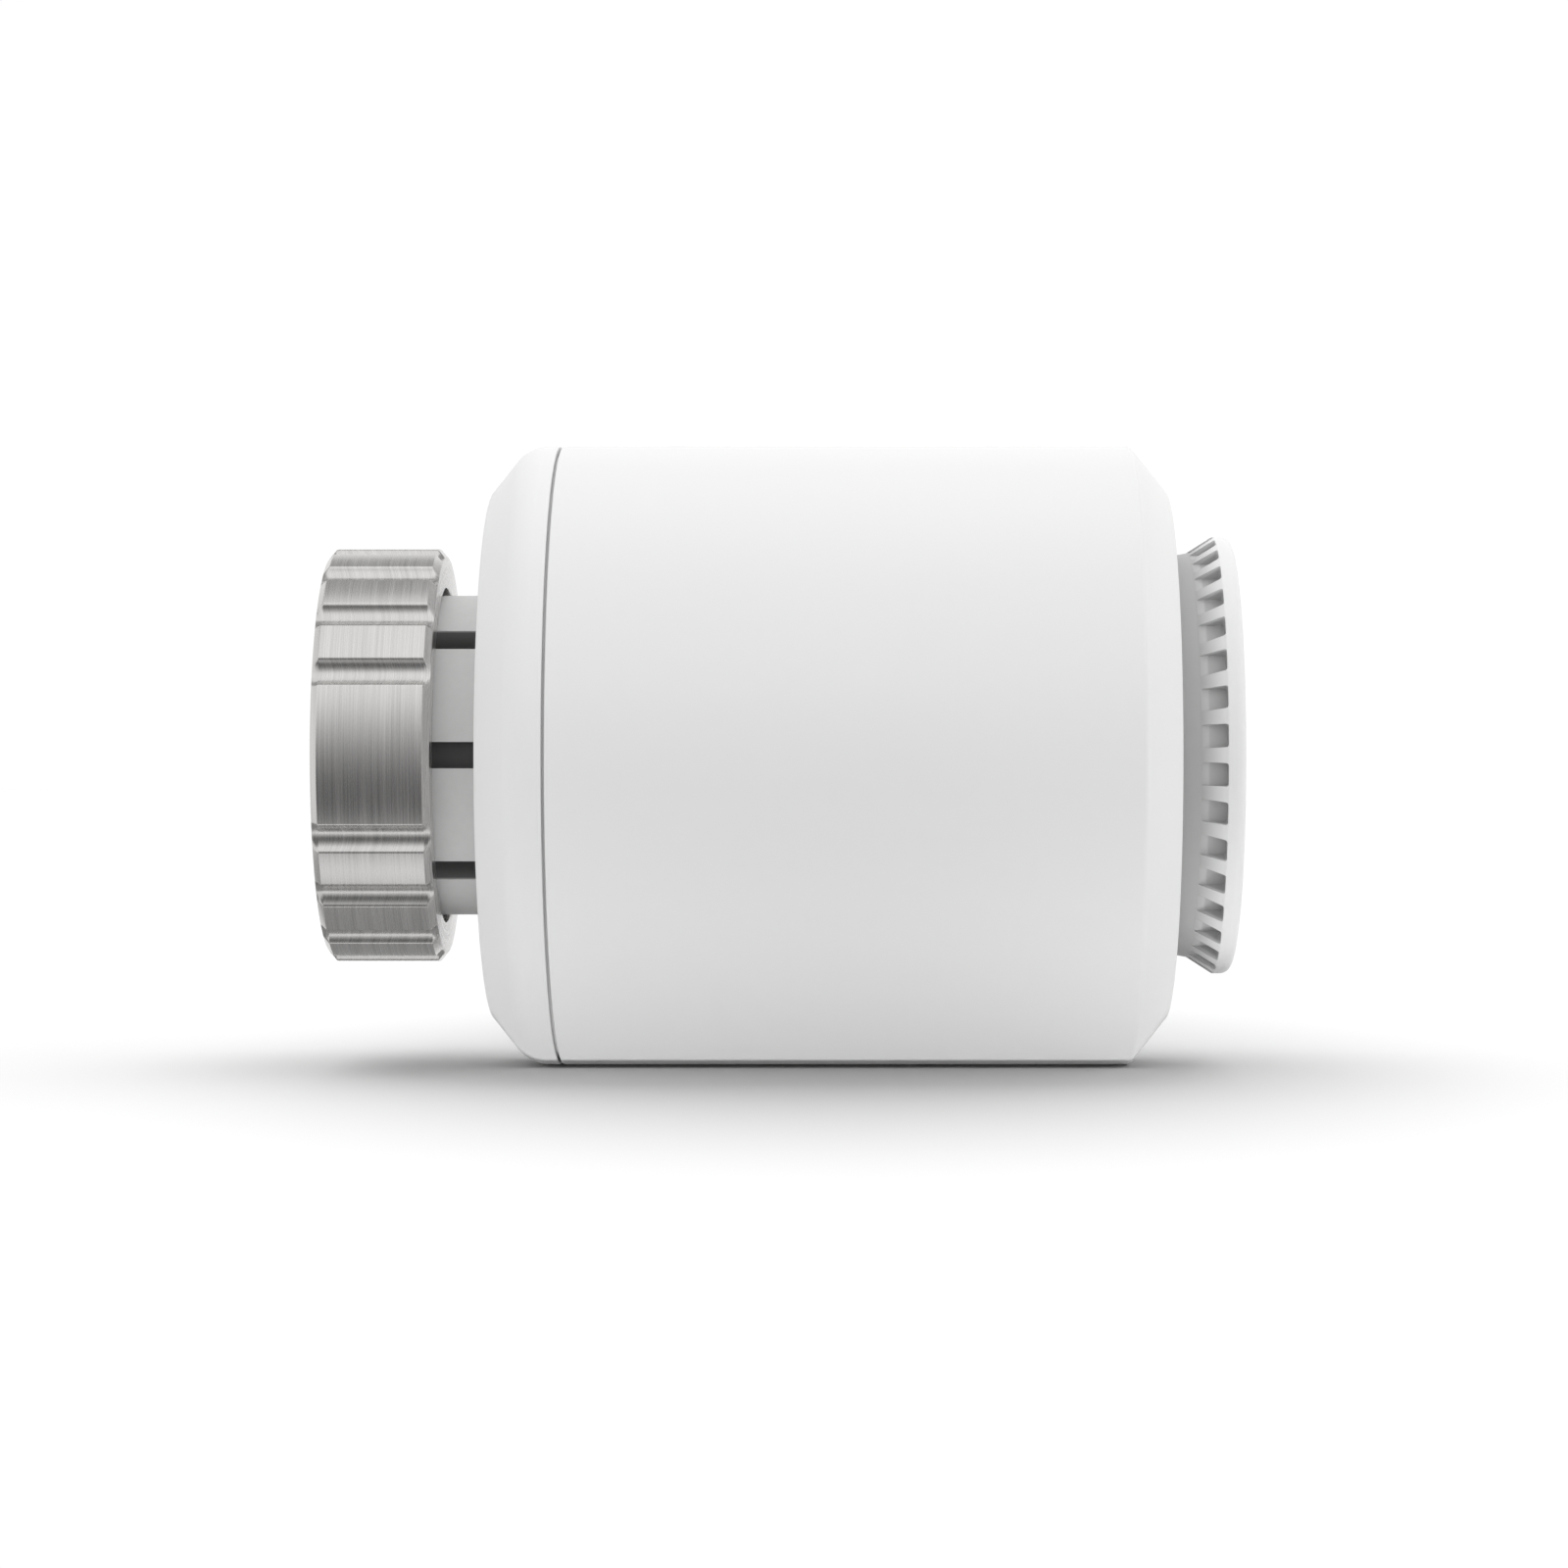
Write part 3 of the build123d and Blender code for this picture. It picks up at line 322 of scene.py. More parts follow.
def rubber():
    """Black sealing rubber with a dusty bloom."""
    paint = Finish("seal_rubber")
    bloom = paint.noise(scale=900.0, detail=4.0)
    paint.colour(paint.mixed(bloom, grey(0.018), grey(0.035)))
    paint.roughness(0.5 + 0.2 * bloom)
    paint.bump(bloom, depth=0.004)
    return paint.material


def laminate():
    """Circuit board: solder mask over copper tracks, with small plated holes."""
    paint = Finish("board_laminate", Coat_Weight=0.25, Coat_Roughness=0.2)
    bare_green, track_green = (0.004, 0.055, 0.028, 1.0), (0.010, 0.115, 0.055, 1.0)
    plating = (0.55, 0.47, 0.30, 1.0)
    field_size, track_pitch = 2.4 * MM, 0.8 * MM
    place = paint.place()
    along, _, up = paint.along(place)
    field_inputs = {0: place, 1: (field_size,) * 3}
    field = paint.node("ShaderNodeVectorMath", {"operation": "SNAP"}, field_inputs).outputs[0]
    runs_along = paint.noise(140.0, 1.0, field) > 0.5
    wave_along = (up * (2 * math.pi / track_pitch)).math("SINE")
    wave_up = (along * (2 * math.pi / track_pitch)).math("SINE")
    wave = runs_along * wave_along + (1 - runs_along) * wave_up
    crowded = paint.noise(260.0, 1.0, field) > 0.47
    track = ((wave - 0.2) * 3.0).clamped(0.0, 1.0) * crowded
    from_hole = paint.value("ShaderNodeTexVoronoi", inputs={"Vector": place, "Scale": 420.0})
    hole = from_hole < 0.09
    mask = paint.mixed(track, bare_green, track_green)
    paint.colour(paint.mixed(hole, mask, plating))
    paint.roughness(0.34 - 0.08 * track)
    paint.bump(track + hole, depth=0.02)
    return paint.material


def cell_wrap():
    """The film on a cell: plain dark blue, glossy and a little crinkled."""
    paint = Finish("cell_wrap", Coat_Weight=0.6, Coat_Roughness=0.12)
    deep_blue, blue = (0.016, 0.045, 0.10, 1), (0.03, 0.07, 0.15, 1)
    crinkle = paint.noise(scale=160.0, detail=3.0)
    fleck = paint.noise(scale=5000.0)
    paint.colour(paint.mixed(0.5 * crinkle + 0.5 * fleck, deep_blue, blue))
    paint.roughness(0.26 + 0.12 * crinkle)
    paint.bump(crinkle, depth=0.02)
    return paint.material


def ferrite():
    """Bonded ferrite: dark grey with fine bright specks."""
    paint = Finish("magnet")
    speck = paint.noise(scale=6000.0)
    paint.colour(paint.mixed(speck > 0.62, grey(0.035), grey(0.10)))
    paint.roughness(0.45 + 0.2 * speck)
    paint.bump(speck, depth=0.005)
    return paint.material


def smoked_glass():
    """The dark window over the display: polished, with faint wipe marks."""
    paint = Finish("smoked_lens", Coat_Weight=0.4, Coat_Roughness=0.03)
    wipe = paint.noise(60.0, 3.0, paint.stretched((1.0, 1.0, 0.2)))
    paint.colour(paint.mixed(wipe, grey(0.008), grey(0.014)))
    paint.roughness(0.05 + 0.07 * wipe)
    paint.bump(wipe, depth=0.002)
    return paint.material


FINISHES = {
    "dial_plastic": dial_plastic(),
    "white_plastic": moulded("white_plastic", 0.715, sheen=0.48, depth=0.0035, variation=0.008),
    "collar_plastic": collar_plastic(),
    "dark_plastic": moulded("dark_plastic", 0.11, sheen=0.42, depth=0.003, variation=0.008),
    "natural_plastic": moulded("natural_plastic", 0.62, sheen=0.38, depth=0.003, warmth=0.05),
    "gear_plastic": moulded("gear_plastic", 0.74, sheen=0.34, depth=0.002, warmth=0.03, grain=2500.0),
    "holder_plastic": moulded(
        "holder_plastic", 0.06, sheen=0.44, depth=0.005, warmth=-0.02, variation=0.01
    ),
    "chip_resin": moulded("chip_resin", 0.028, sheen=0.5, depth=0.004, grain=5000.0, variation=0.006),
    "nut_metal": brushed_round("nut_metal", 0.66, 0.015, 0.20, 0.34),
    "steel": metal("steel", grey(0.60), 0.22, 0.38, (0.02, 1.0, 1.0)),
    "screw_steel": metal("screw_steel", grey(0.50, -0.01), 0.25, 0.42),
    "brass": metal("brass", (0.78, 0.57, 0.27, 1.0), 0.18, 0.34, (1.0, 0.1, 0.1)),
    "contact_metal": metal("contact_metal", grey(0.72, 0.02), 0.14, 0.30, (1.0, 0.05, 1.0)),
    "seal_rubber": rubber(),
    "board_laminate": laminate(),
    "cell_wrap": cell_wrap(),
    "magnet": ferrite(),
    "smoked_lens": smoked_glass(),
}


# ---- Mesh helpers, in millimetres ----------------------------------------------------------------------
def span(node):
    """Where a CAD node starts and ends along the axis."""
    low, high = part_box(node)
    return low[0] / MM, high[0] / MM


def outer(node):
    """A CAD node's radius about the head's axis."""
    _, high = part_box(node)
    return max(high[1], high[2]) / MM


def middle(node):
    """The (y, z) middle of a CAD node."""
    low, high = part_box(node)
    return (low[1] + high[1]) / 2 / MM, (low[2] + high[2]) / 2 / MM


def turned(corners, steps):
    """A shape turned about the X axis from the (x, radius, rounding radius) corners of its outline."""
    shape = bmesh.new()
    outline = [shape.verts.new((x, 0.0, radius)) for x, radius, _ in corners]
    shape.faces.new(outline)
    flat = [Vector((x, radius)) for x, radius, _ in corners]
    for place, vert in enumerate(outline):
        rounding = corners[place][2]
        if rounding:
            before = flat[place] - flat[place - 1]
            after = flat[(place + 1) % len(flat)] - flat[place]
            bmesh.ops.bevel(
                shape,
                geom=[vert],
                offset=rounding * math.tan(before.angle(after) / 2),
                offset_type="OFFSET",
                segments=5,
                profile=0.5,
                affect="VERTICES",
                material=-1,
            )
    bmesh.ops.delete(shape, geom=list(shape.faces), context="FACES_ONLY")
    on_axis = [edge for edge in shape.edges if max(vert.co.z for vert in edge.verts) < 1e-6]
    bmesh.ops.delete(shape, geom=on_axis, context="EDGES")
    bmesh.ops.spin(
        shape,
        geom=list(shape.verts) + list(shape.edges),
        cent=(0, 0, 0),
        axis=(1, 0, 0),
        dvec=(0, 0, 0),
        angle=2 * math.pi,
        steps=steps,
        use_merge=True,
    )
    bmesh.ops.remove_doubles(shape, verts=list(shape.verts), dist=1e-5)
    bmesh.ops.recalc_face_normals(shape, faces=list(shape.faces))
    return shape


def bar(shape, low, high, turn=0.0):
    """Adds a box between two corners, turned about the axis by some degrees."""
    size = [top - bottom for bottom, top in zip(low, high)]
    centre = [(top + bottom) / 2 for bottom, top in zip(low, high)]
    turned_by = Matrix.Rotation(math.radians(turn), 4, "X")
    place = turned_by @ Matrix.Translation(centre) @ Matrix.Diagonal((*size, 1.0))
    bmesh.ops.create_cube(shape, size=1.0, matrix=place)


def carved(shape, cutter):
    """The shape with the cutter's solids cut out of it."""
    solids = []
    for given in (shape, cutter):
        mesh = bpy.data.meshes.new("carving")
        given.to_mesh(mesh)
        given.free()
        solids.append(bpy.data.objects.new("carving", mesh))
        scene.collection.objects.link(solids[-1])
    cut = solids[0].modifiers.new("cut", "BOOLEAN")
    cut.object = solids[1]
    cut.operation = "DIFFERENCE"
    cut.solver = "EXACT"
    bpy.context.view_layer.update()
    result = bmesh.new()
    result.from_object(solids[0], bpy.context.evaluated_depsgraph_get())
    for solid in solids:
        bpy.data.objects.remove(solid)
    return result


def finished(shape, name, body, finish, stands_for=(), ease=0.0, sharp=32.0):
    """Makes a shape a smooth-shaded piece on a body, with its sharp edges eased by some millimetres."""
    bmesh.ops.scale(shape, vec=(MM, MM, MM), verts=list(shape.verts))
    mesh = bpy.data.meshes.new(name)
    shape.to_mesh(mesh)
    shape.free()
    mesh.shade_smooth()
    mesh.set_sharp_from_angle(angle=math.radians(sharp))
    mesh.materials.append(FINISHES[finish])
    piece = bpy.data.objects.new(name, mesh)
    scene.collection.objects.link(piece)
    if ease:
        bevel = piece.modifiers.new("ease", "BEVEL")
        bevel.width = ease * MM
        bevel.segments = 2
        bevel.limit_method = "ANGLE"
        bevel.angle_limit = math.radians(sharp)
        bevel.harden_normals = True
    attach(piece, body)
    "white_plastic" if finish == "dial_plastic" else finish
    if stands_for:
        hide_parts(*stands_for)


# ---- Coupling nut --------------------------------------------------------------------------------------
NUT_STEPS = 1080
THREAD_PITCH = 1.5
THREAD_DEPTH = 0.83
THREAD_STEPS = 120
THREAD_INSET = 4.17  # from the nut's outside in to the thread's crest
FLUTE_RADIUS = 1.4
FLUTE_DEPTH = 0.75
FLUTE_EDGE = 0.05  # how softly a flute meets the land beside it
FLUTE_SPACING = 18.5  # degrees from one flute to the next in its group


def flute_directions():
    """Three groups of five flutes, in degrees round the nut."""
    groups = (240, 360, 480)
    return [group + FLUTE_SPACING * (place - 2) for group in groups for place in range(5)]


def fluted(shape, radius, inner):
    """Presses the flutes into everything that is further out than the inner radius."""
    circle = radius - FLUTE_DEPTH + FLUTE_RADIUS
    flutes = [math.radians(direction) for direction in flute_directions()]
    for vert in shape.verts:
        reach = math.hypot(vert.co.y, vert.co.z)
        if reach < inner:
            continue
        direction = math.atan2(vert.co.z, vert.co.y)
        off = min(abs(math.remainder(direction - flute, 2 * math.pi)) for flute in flutes)
        side = circle * math.sin(off)
        depth = FLUTE_RADIUS**2 - side**2
        if depth > 0:
            floor = circle * math.cos(off) - math.sqrt(depth)
        else:
            floor = circle * math.cos(off) + (side - FLUTE_RADIUS)
        gap = reach - floor
        pressed = (reach + floor - math.sqrt(gap**2 + FLUTE_EDGE**2)) / 2
        vert.co.y *= pressed / reach
        vert.co.z *= pressed / reach


def union_nut():
    """The fluted nut, with a chamfer at both ends, an inner groove and a lip."""
    start, end = span("coupling_nut")
    radius = outer("coupling_nut")
    chamfer_length, chamfer_depth = 0.6, 0.72
    thread_root = radius - THREAD_INSET + THREAD_DEPTH
    mouth_length, mouth_depth = 0.3, 0.9
    groove_radius, lip_radius = 16.0, 14.9
    thread_end, groove_end = 6.2, 8.0
    shape = turned(
        [
            (start, radius - chamfer_depth, 0.08),
            (start + chamfer_length, radius, 0.08),
            (end - chamfer_length, radius, 0.08),
            (end, radius - chamfer_depth, 0.08),
            (end, lip_radius, 0.15),
            (groove_end, lip_radius, 0.08),
            (groove_end, groove_radius, 0.0),
            (thread_end, groove_radius, 0.0),
            (thread_end, thread_root, 0.0),
            (mouth_length, thread_root, 0.0),
            (start, thread_root + mouth_depth, 0.1),
        ],
        NUT_STEPS,
    )
    fluted(shape, radius, radius - 1.2)
    finished(shape, "union_nut", "nut", "nut_metal", ["coupling_nut"], sharp=50.0)


def nut_thread():
    """The helical ridge of the nut's thread."""
    crest = outer("coupling_nut") - THREAD_INSET
    root = crest + THREAD_DEPTH + 0.05  # a little inside the nut's wall
    half_foot, half_crest = 0.66, 0.12
    first, turns = 0.45, 3.9
    shape = bmesh.new()
    section = [(-half_foot, root), (-half_crest, crest), (half_crest, crest), (half_foot, root)]
    shape.faces.new([shape.verts.new((first + x, 0.0, radius)) for x, radius in section])
    steps = int(turns * THREAD_STEPS)
    bmesh.ops.spin(
        shape,
        geom=list(shape.verts) + list(shape.edges) + list(shape.faces),
        cent=(0, 0, 0),
        axis=(1, 0, 0),
        dvec=(THREAD_PITCH / THREAD_STEPS, 0, 0),
        angle=2 * math.pi * steps / THREAD_STEPS,
        steps=steps,
        use_merge=False,
    )
    bmesh.ops.remove_doubles(shape, verts=list(shape.verts), dist=1e-5)
    bmesh.ops.recalc_face_normals(shape, faces=list(shape.faces))
    finished(shape, "nut_thread", "nut", "nut_metal")


# ---- Collar, push pin ----------------------------------------------------------------------------------
def slotted_collar():
    """The grey neck with eight slots, which the nut turns on."""
    start, end = span("collar")
    cap_start = span("base_cap")[0]
    bore, lip, flange = 12.03, 15.6, outer("collar")
    lip_end = 7.8
    flange_start = end - 1.0
    shape = turned(
        [
            (start, bore, 0.15),
            (start, lip - 0.6, 0.1),
            (start + 0.6, lip, 0.1),
            (lip_end, lip, 0.1),
            (lip_end, COLLAR_NECK, 0.15),
            (flange_start, COLLAR_NECK, 0.0),
            (flange_start, flange, 0.1),
            (end, flange, 0.1),
            (end, bore, 0.1),
        ],
        240,
    )
    slots = bmesh.new()
    half_slot = 2.27 / 2
    low = (start - 1, bore - 1, -half_slot)
    high = (cap_start + 0.15, lip + 1, half_slot)
    for turn in range(0, 360, 45):
        bar(slots, low, high, turn)
    finished(carved(shape, slots), "slotted_collar", "base", "collar_plastic", ["collar"], ease=0.08)


def plunger_pin():
    """The keyed pin that pushes the valve's stem, with a shallow ring in its face."""
    start, end = span("push_pin")
    head, stem, seat = outer("push_pin"), 3.0, 2.5
    head_end, seat_floor, ring_floor = start + 2.0, start + 1.2, start + 0.35
    shape = turned(
        [
            (seat_floor, 0.0, 0.0),
            (seat_floor, seat, 0.0),
            (start, seat, 0.1),
            (start, 4.2, 0.1),
            (ring_floor, 4.5, 0.1),
            (ring_floor, 6.6, 0.1),
            (start, 6.9, 0.1),
            (start, head, 0.25),
            (head_end, head, 0.15),
            (head_end, stem, 0.4),
            (end - 0.4, stem, 0.1),
            (end, stem - 0.4, 0.1),
            (end, 0.0, 0.0),
        ],
        120,
    )
    keyways = bmesh.new()
    deep, half_wide = 1.2, 1.2
    low, high = (start - 1, head - deep, -half_wide), (head_end + 0.01, head + 1, half_wide)
    for turn in (90, 270):
        bar(keyways, low, high, turn)
    finished(carved(shape, keyways), "plunger_pin", "pin", "gear_plastic", ["push_pin"], ease=0.08)


def hard_tip():
    """The hard disc in the pin's face, gently domed by rounds."""
    start, end = span("pin_cap")
    radius = outer("pin_cap")
    corners = [
        (start, 0.0, 0.0),
        (start, radius - 0.2, 0.4),
        (start + 0.3, radius, 0.1),
        (end, radius, 0.0),
        (end, 0.0, 0.0),
    ]
    finished(turned(corners, 96), "hard_tip", "pin", "steel", ["pin_cap"])


# ---- Housing -------------------------------------------------------------------------------------------
BODY_STEPS = 360
FRONT_FACE = 23.35  # radius of the flat face on the nut's side
FRONT_SLOPE = 3.35
BACK_FACE = 23.4
BACK_SLOPE = 3.3
SEAM = 19.4  # where along the axis the two halves meet
WALL = 1.8
BOSS_DIRECTIONS = (143.0, 9.0, 186.0)


def rear_cap():
    """The short end of the housing, with its slope, the spigot and the seal's groove."""
    start, end = span("base_cap")
    radius = outer("base_cap")
    spigot = radius - WALL - 0.15
    bore = spigot - 1.5
    groove = spigot - 0.925
    groove_start, groove_end = SEAM + 1.45, SEAM + 2.75
    shoulder, seam_end = radius - 0.7, SEAM + 0.23
    inside = start + 2.0
    shape = turned(
        [
            (start, COLLAR_NECK, 0.1),
            (start, FRONT_FACE, 0.5),
            (start + FRONT_SLOPE, radius, 3.0),
            (SEAM, radius, 0.14),
            (SEAM, shoulder, 0.0),
            (seam_end, shoulder, 0.0),
            (seam_end, spigot, 0.0),
            (groove_start, spigot, 0.05),
            (groove_start, groove, 0.05),
            (groove_end, groove, 0.05),
            (groove_end, spigot, 0.05),
            (end - 0.5, spigot, 0.1),
            (end, spigot - 0.5, 0.1),
            (end, bore, 0.1),
            (inside + 2.0, bore, 0.4),
            (inside, bore - 2.0, 0.4),
            (inside, COLLAR_NECK, 0.0),
        ],
        BODY_STEPS,
    )
    finished(shape, "rear_cap", "base", "white_plastic", ["base_cap"], sharp=40.0)
    screw_bosses(inside - 0.2, span("gearbox_housing")[0])


def screw_bosses(low, high):
    """The three hollow posts that the gearbox is screwed to."""
    reach, outside, hole = 19.3, 2.6, 1.0
    corners = [(low, outside, 0), (high, outside, 0.1), (high, hole, 0), (low, hole, 0)]
    bosses = bmesh.new()
    for direction in BOSS_DIRECTIONS:
        boss = turned(corners, 40)
        angle = math.radians(direction)
        place = (0.0, reach * math.cos(angle), reach * math.sin(angle))
        bmesh.ops.translate(boss, vec=place, verts=list(boss.verts))
        mesh = bpy.data.meshes.new("boss")
        boss.to_mesh(mesh)
        boss.free()
        bosses.from_mesh(mesh)
    finished(bosses, "screw_bosses", "base", "white_plastic")


def sleeve_shell():
    """The long shell of the housing, with the hub that carries the dial."""
    start, hub_end = span("outer_sleeve")
    radius = outer("outer_sleeve")
    back = hub_end - 3.8
    bore = radius - WALL
    hub, hub_bore = 15.5, 14.2
    groove_start = back + 1.4
    groove_end = groove_start + 0.8
    inside = back - 2.0
    slope_inside = bore - 3.3
    shape = turned(
        [
            (start, bore, 0.1),
            (start, radius, 0.14),
            (back - BACK_SLOPE, radius, 0.5),
            (back, BACK_FACE, 0.5),
            (back, hub, 0.15),
            (groove_start, hub, 0.05),
            (groove_start, hub - 0.6, 0.0),
            (groove_end, hub - 0.6, 0.0),
            (groove_end, hub, 0.05),
            (hub_end, hub, 0.15),
            (hub_end, hub_bore, 0.1),
            (inside, hub_bore, 0.2),
            (inside, slope_inside + 0.6, 0.5),
            (inside - 2.2, bore, 0.5),
        ],
        BODY_STEPS,
    )
    finished(shape, "sleeve_shell", "cover", "white_plastic", ["outer_sleeve"], sharp=40.0)


# ---- Dial, button and lens -----------------------------------------------------------------------------
POCKETS = 36


def grip_ring():
    """The dial: a short neck, a flared grip with pockets, and a rounded rim."""
    back, front = span("dial_ring")
    rim = outer("dial_ring")
    hub_bore = 15.56
    back_edge, neck, lip = 17.15, 17.67, 14.4
    flare_start = back + 1.75
    rim_start = flare_start + DIAL_FLARE_LENGTH
    lip_start = front - 1.7
    magnets = 16.6
    magnet_start = lip_start - 1.3
    snap_start, snap_end, snap = back + 1.35, back + 1.95, 16.2
    shape = turned(
        [
            (back, back_edge, 0.1),
            (back, neck, 0.15),
            (flare_start, DIAL_FLARE_RADIUS, 0.6),
            (rim_start, rim, 0.35),
            (front, rim, 0.85),
            (front, lip, 0.3),
            (lip_start, lip, 0.1),
            (lip_start, magnets, 0.0),
            (magnet_start, magnets, 0.0),
            (magnet_start, hub_bore, 0.0),
            (snap_end, hub_bore, 0.0),
            (snap_end, snap, 0.0),
            (snap_start, snap, 0.0),
            (snap_start, hub_bore, 0.0),
            (back + 0.3, hub_bore, 0.0),
            (back + 0.3, back_edge, 0.0),
        ],
        BODY_STEPS,
    )
    pockets = bmesh.new()
    low, high = (flare_start + 0.05, DIAL_FLARE_RADIUS, -1.0), (rim_start, rim + 2, 1.0)
    for place in range(POCKETS):
        bar(pockets, low, high, (place + 0.5) * 360 / POCKETS)
    corners = [edge for edge in pockets.edges if is_pocket_corner(edge)]
    bmesh.ops.bevel(
        pockets,
        geom=corners,
        offset=0.22,
        offset_type="OFFSET",
        segments=3,
        profile=0.5,
        affect="EDGES",
        material=-1,
    )
    finished(carved(shape, pockets), "grip_ring", "dial", "dial_plastic", ["dial_ring"], ease=0.07)


def is_pocket_corner(edge):
    """Whether an edge of a pocket's cutter runs outwards, and so cuts a corner of the pocket."""
    one, other = (vert.co for vert in edge.verts)
    along = abs(one.x - other.x)
    reach = abs(math.hypot(one.y, one.z) - math.hypot(other.y, other.z))
    return along < 1e-4 and reach > 1.0


def button_rim():
    """The pushbutton in the middle of the dial, with the pocket for the lens."""
    start, front = span("button_cap")
    radius, lens = outer("button_cap"), 12.5
    lens_floor = front - 1.2
    back = lens_floor - 0.9
    skirt, skirt_bore = 12.2, 11.2
    shape = turned(
        [
            (lens_floor, 0.0, 0.0),
            (lens_floor, lens, 0.0),
            (front, lens, 0.12),
            (front, radius, 0.4),
            (back, radius, 0.1),
            (back, skirt, 0.1),
            (start, skirt, 0.1),
            (start, skirt_bore, 0.1),
            (back, skirt_bore, 0.1),
            (back, 0.0, 0.0),
        ],
        200,
    )
    window = bmesh.new()
    across, up = middle("display_module")
    half_wide, half_high = 8, 6
    low = (back - 1, across - half_wide, up - half_high)
    high = (lens_floor + 0.01, across + half_wide, up + half_high)
    bar(window, low, high)
    finished(carved(shape, window), "button_rim", "button", "white_plastic", ["button_cap"], sharp=40.0)
    foot = bmesh.new()
    across, up = middle("switch_plunger")
    foot_start, half_foot = span("switch_plunger")[1] + 0.02, 2
    low = (foot_start, across - half_foot, up - half_foot)
    high = (back + 0.01, across + half_foot, up + half_foot)
    bar(foot, low, high)
    finished(foot, "button_foot", "button", "white_plastic", ease=0.15)


def lens_glass():
    """The smoked window in the button."""
    start, front = span("display_lens")
    radius = outer("display_lens")
    corners = [(start, 0.0, 0.0), (start, radius, 0.1), (front, radius, 0.35), (front, 0.0, 0.0)]
    finished(turned(corners, 200), "lens_glass", "button", "smoked_lens", ["display_lens"], sharp=40.0)


# ---- Cells ---------------------------------------------------------------------------------------------
def cell(node, name, forward):
    """An AA cell: a shrink wrap that folds in at both ends, and the steel can's ends inside it."""
    start, end = span(node)
    radius = 7.25
    wrap_bore = radius - 0.3
    length = end - start
    wrap = [
        (0.05, 6.0, 0.0),
        (0.0, 6.5, 0.1),
        (0.0, radius, 0.5),
        (length - 1.2, radius, 0.6),
        (length - 1.0, 6.2, 0.15),
        (length - 1.05, 5.6, 0.0),
        (length - 1.35, 5.6, 0.0),
        (length - 1.5, wrap_bore, 0.0),
        (0.3, wrap_bore, 0.0),
        (0.3, 6.0, 0.0),
    ]
    can = [
        (0.12, 0.0, 0.0),
        (0.12, 5.6, 0.3),
        (0.3, 6.2, 0.1),
        (0.3, radius - 0.35, 0.0),
        (length - 1.5, radius - 0.35, 0.0),
        (length - 1.35, 5.4, 0.2),
        (length - 1.2, 2.9, 0.2),
        (length - 1.2, 2.7, 0.1),
        (length, 2.7, 0.4),
        (length, 0.0, 0.0),
    ]
    centre = middle(node)
    half_turn = Matrix.Rotation(math.pi, 3, "Z")
    for part, finish, corners in (("wrap", "cell_wrap", wrap), ("can", "steel", can)):
        shape = turned(corners, 96)
        verts = list(shape.verts)
        if not forward:
            bmesh.ops.rotate(shape, cent=(length / 2, 0, 0), matrix=half_turn, verts=verts)
        bmesh.ops.translate(shape, vec=(start, *centre), verts=verts)
        stands_for = [node] if part == "wrap" else []
        finished(shape, f"{name}_{part}", "base", finish, stands_for)


# ---- Inner pieces that keep their shape, with eased edges ----------------------------------------------
EASED = {
    "gearbox_housing": 0.15,
    "gearbox_cover": 0.15,
    "gear_axles": 0.05,
    "gearbox_screws": 0.08,
    "thrust_washer": 0.04,
    "motor_can": 0.15,
    "motor_end_bell": 0.12,
    "motor_terminals": 0.05,
    "motor_strips": 0.05,
    "battery_holder": 0.12,
    "rear_contacts": 0.05,
    "bridge_contact": 0.05,
    "main_board": 0.06,
    "controller_chip": 0.06,
    "radio_module": 0.0,
    "small_chips": 0.05,
    "capacitor": 0.0,
    "temperature_sensor": 0.08,
    "pin_block": 0.12,
    "spring_pins": 0.08,
    "front_board": 0.06,
    "display_module": 0.1,
    "push_switch": 0.1,
    "hall_sensors": 0.05,
    "button_carrier": 0.08,
    "carrier_screws": 0.05,
    "dial_washer": 0.04,
    "snap_ring": 0.06,
    "magnet_ring": 0.06,
    "switch_plunger": 0.1,
    "spindle_nut": 0.1,
    "spindle_gear": 0.04,
    "second_gear": 0.04,
    "third_gear": 0.04,
    "motor_shaft": 0.08,
    "motor_pinion": 0.03,
    "guide_tube": 0.1,
    "seal_ring": 0.0,
    "contact_springs": 0.0,
}
SLOT_OF = {part["node"]: part["material_slot"] for part in frame["record"]["subparts"]}
BODY_OF = {
    node: body for body, nodes in frame["record"]["behaviour"]["bodies"].items() for node in nodes
}


def eased(node, width):
    """A copy of a CAD node with its triangles joined into whole faces and its edges eased."""
    shape = bmesh.new()
    shape.from_mesh(frame["nodes"][node].data)
    bmesh.ops.scale(shape, vec=(1 / MM,) * 3, verts=list(shape.verts))
    bmesh.ops.remove_doubles(shape, verts=list(shape.verts), dist=1e-4)
    bmesh.ops.dissolve_limit(
        shape,
        angle_limit=math.radians(0.5),
        verts=list(shape.verts),
        edges=list(shape.edges),
        use_dissolve_boundaries=False,
        delimit={"NORMAL"},
    )
    finished(shape, f"{node}_piece", BODY_OF[node], SLOT_OF[node], [node], ease=width, sharp=35.0)


# ---- Everything ----------------------------------------------------------------------------------------
union_nut()
nut_thread()
slotted_collar()
plunger_pin()
hard_tip()
rear_cap()
sleeve_shell()
grip_ring()
button_rim()
lens_glass()
cell("battery_one", "cell_one", True)
cell("battery_two", "cell_two", False)
for node, width in EASED.items():
    eased(node, width)


# ---- Floor and light, in metres ------------------------------------------------------------------------
HEAD_MIDDLE = 0.045  # the middle of the housing along the axis
FLOOR_HEIGHT = cad_box[0][2]


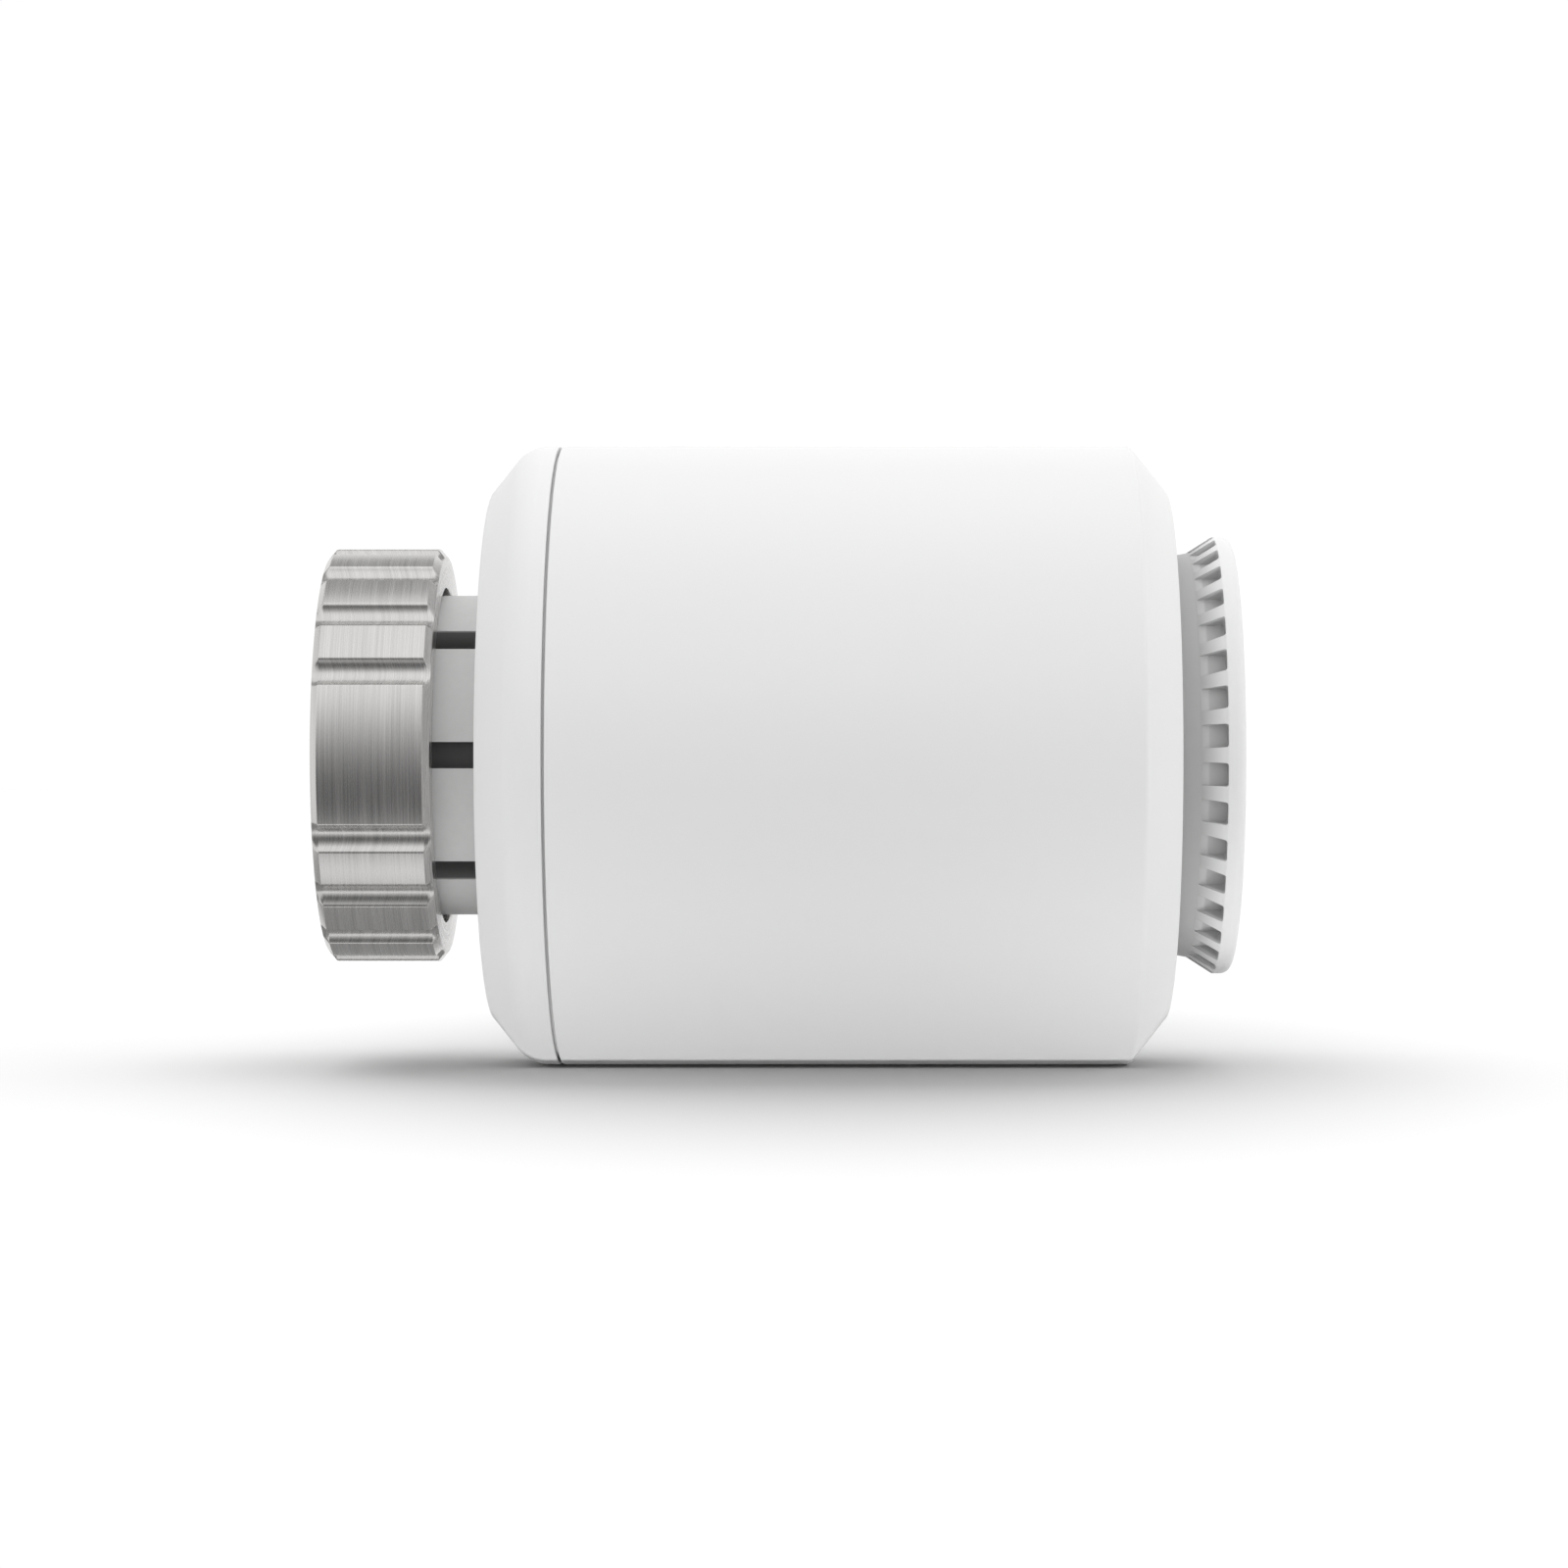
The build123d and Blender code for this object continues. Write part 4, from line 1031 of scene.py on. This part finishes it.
def sheet(name, half_size):
    """A flat square object at the origin."""
    shape = bmesh.new()
    bmesh.ops.create_grid(shape, x_segments=1, y_segments=1, size=half_size)
    mesh = bpy.data.meshes.new(name)
    shape.to_mesh(mesh)
    shape.free()
    flat = bpy.data.objects.new(name, mesh)
    scene.collection.objects.link(flat)
    return flat


def floor():
    """A plain white floor that the housing lies on, with a painted shadow darkening it round where it
    rests.
    """
    paint = Finish("floor", Roughness=1.0, Specular_IOR_Level=0.0)
    half_along, half_across = 0.066, 0.13
    cloud = paint.noise(scale=2.0)
    along, across, _ = paint.along(paint.place())
    off_along = (along - HEAD_MIDDLE) * (1 / half_along)
    off_across = across * (1 / half_across)
    # Painted shadow: the floor's colour is mixed towards black within an ellipse round where the head
    # rests.
    near = (1 - (off_along * off_along + off_across * off_across)).clamped(0.0, 1.0)
    pale = paint.mixed(cloud, grey(0.715), grey(0.725))
    paint.colour(paint.mixed(near * near * 0.36, pale, grey(0.0)))
    ground = sheet("floor", 3.0)
    ground.data.materials.append(paint.material)
    ground.location.z = FLOOR_HEIGHT
    ground.visible_glossy = False
    ground.visible_shadow = False


def underside_shade():
    """A strip just under the floor, which keeps the low light off the line where the head rests."""
    strip = sheet("underside_shade", 0.5)
    strip.location = (HEAD_MIDDLE, 0.0, FLOOR_HEIGHT - 1 * MM)
    strip.scale = (0.09, 0.0118, 1.0)
    strip.visible_camera = False
    strip.visible_glossy = False


def studio():
    """A white room, a little brighter on the dial's side."""
    room = bpy.data.worlds.new("studio")
    room.use_nodes = True
    scene.world = room
    paint = Paint(room.node_tree)
    toward_dial, _, _ = paint.along(paint.node("ShaderNodeTexCoord").outputs["Generated"])
    background = room.node_tree.nodes["Background"]
    paint.feed(background.inputs["Color"], grey(1.0))
    paint.feed(background.inputs["Strength"], 1.03 + 0.14 * toward_dial)


def card(name, place, turn, size, level):
    """A card that only shiny surfaces see; level gives its brightness at a height above its middle."""
    material = bpy.data.materials.new(name)
    material.use_nodes = True
    paint = Paint(material.node_tree)
    material.node_tree.nodes.remove(material.node_tree.nodes["Principled BSDF"])
    _, height, _ = paint.along(paint.place())
    glow = paint.node("ShaderNodeEmission", inputs={"Strength": level(paint, height * size[1])})
    output = material.node_tree.nodes["Material Output"]
    paint.feed(output.inputs["Surface"], glow.outputs[0])
    board = sheet(name, 0.5)
    board.data.materials.append(material)
    board.location = place
    board.rotation_euler.x = math.radians(turn)
    board.scale = (size[0], size[1], 1.0)
    board.visible_camera = False
    board.visible_diffuse = False
    board.visible_transmission = False
    board.visible_shadow = False


def front_level(paint, height):
    """Dark at the height of the head, brighter high up, and half bright low down."""
    stops = [
        (0.19, grey(0.60)),
        (0.375, grey(0.42)),
        (0.53, grey(0.12)),
        (0.645, grey(0.13)),
        (0.75, grey(0.28)),
        (0.855, grey(0.60)),
        (0.95, grey(0.88)),
        (1.0, grey(1.0)),
    ]
    lowest, per_metre = -1.0, 0.625
    share = (height - lowest) * per_metre
    ramp = paint.node("ShaderNodeValToRGB", {"stops": stops}, {"Fac": share})
    return ramp.outputs["Color"]


def even_level(level):
    """The same brightness all over a card."""
    return lambda paint, height: level


def sun(name, direction, strength, spread):
    """A very soft light from far away."""
    lamp = bpy.data.lights.new(name, "SUN")
    lamp.energy = strength
    lamp.angle = math.radians(spread)
    fixture = bpy.data.objects.new(name, lamp)
    fixture.rotation_euler = Vector(direction).to_track_quat("-Z", "Y").to_euler()
    fixture.visible_glossy = False
    scene.collection.objects.link(fixture)


floor()
underside_shade()
studio()
card("front_card", (0.04, -0.6, -0.2), 90, (2.4, 1.6), front_level)
card("top_card", (0.04, 0.42, 0.6), 0, (2.4, 0.7), even_level(0.42))
card("low_card", (0.04, 0.35, -0.4), 0, (2.4, 0.9), even_level(0.30))
sun("overhead", (0.0, -0.5, -1.0), 1.45, 70.0)
sun("underside", (0.0, -0.17, 1.0), 2.0, 40.0)
scene.view_settings.view_transform = "Standard"
scene.view_settings.look = "None"
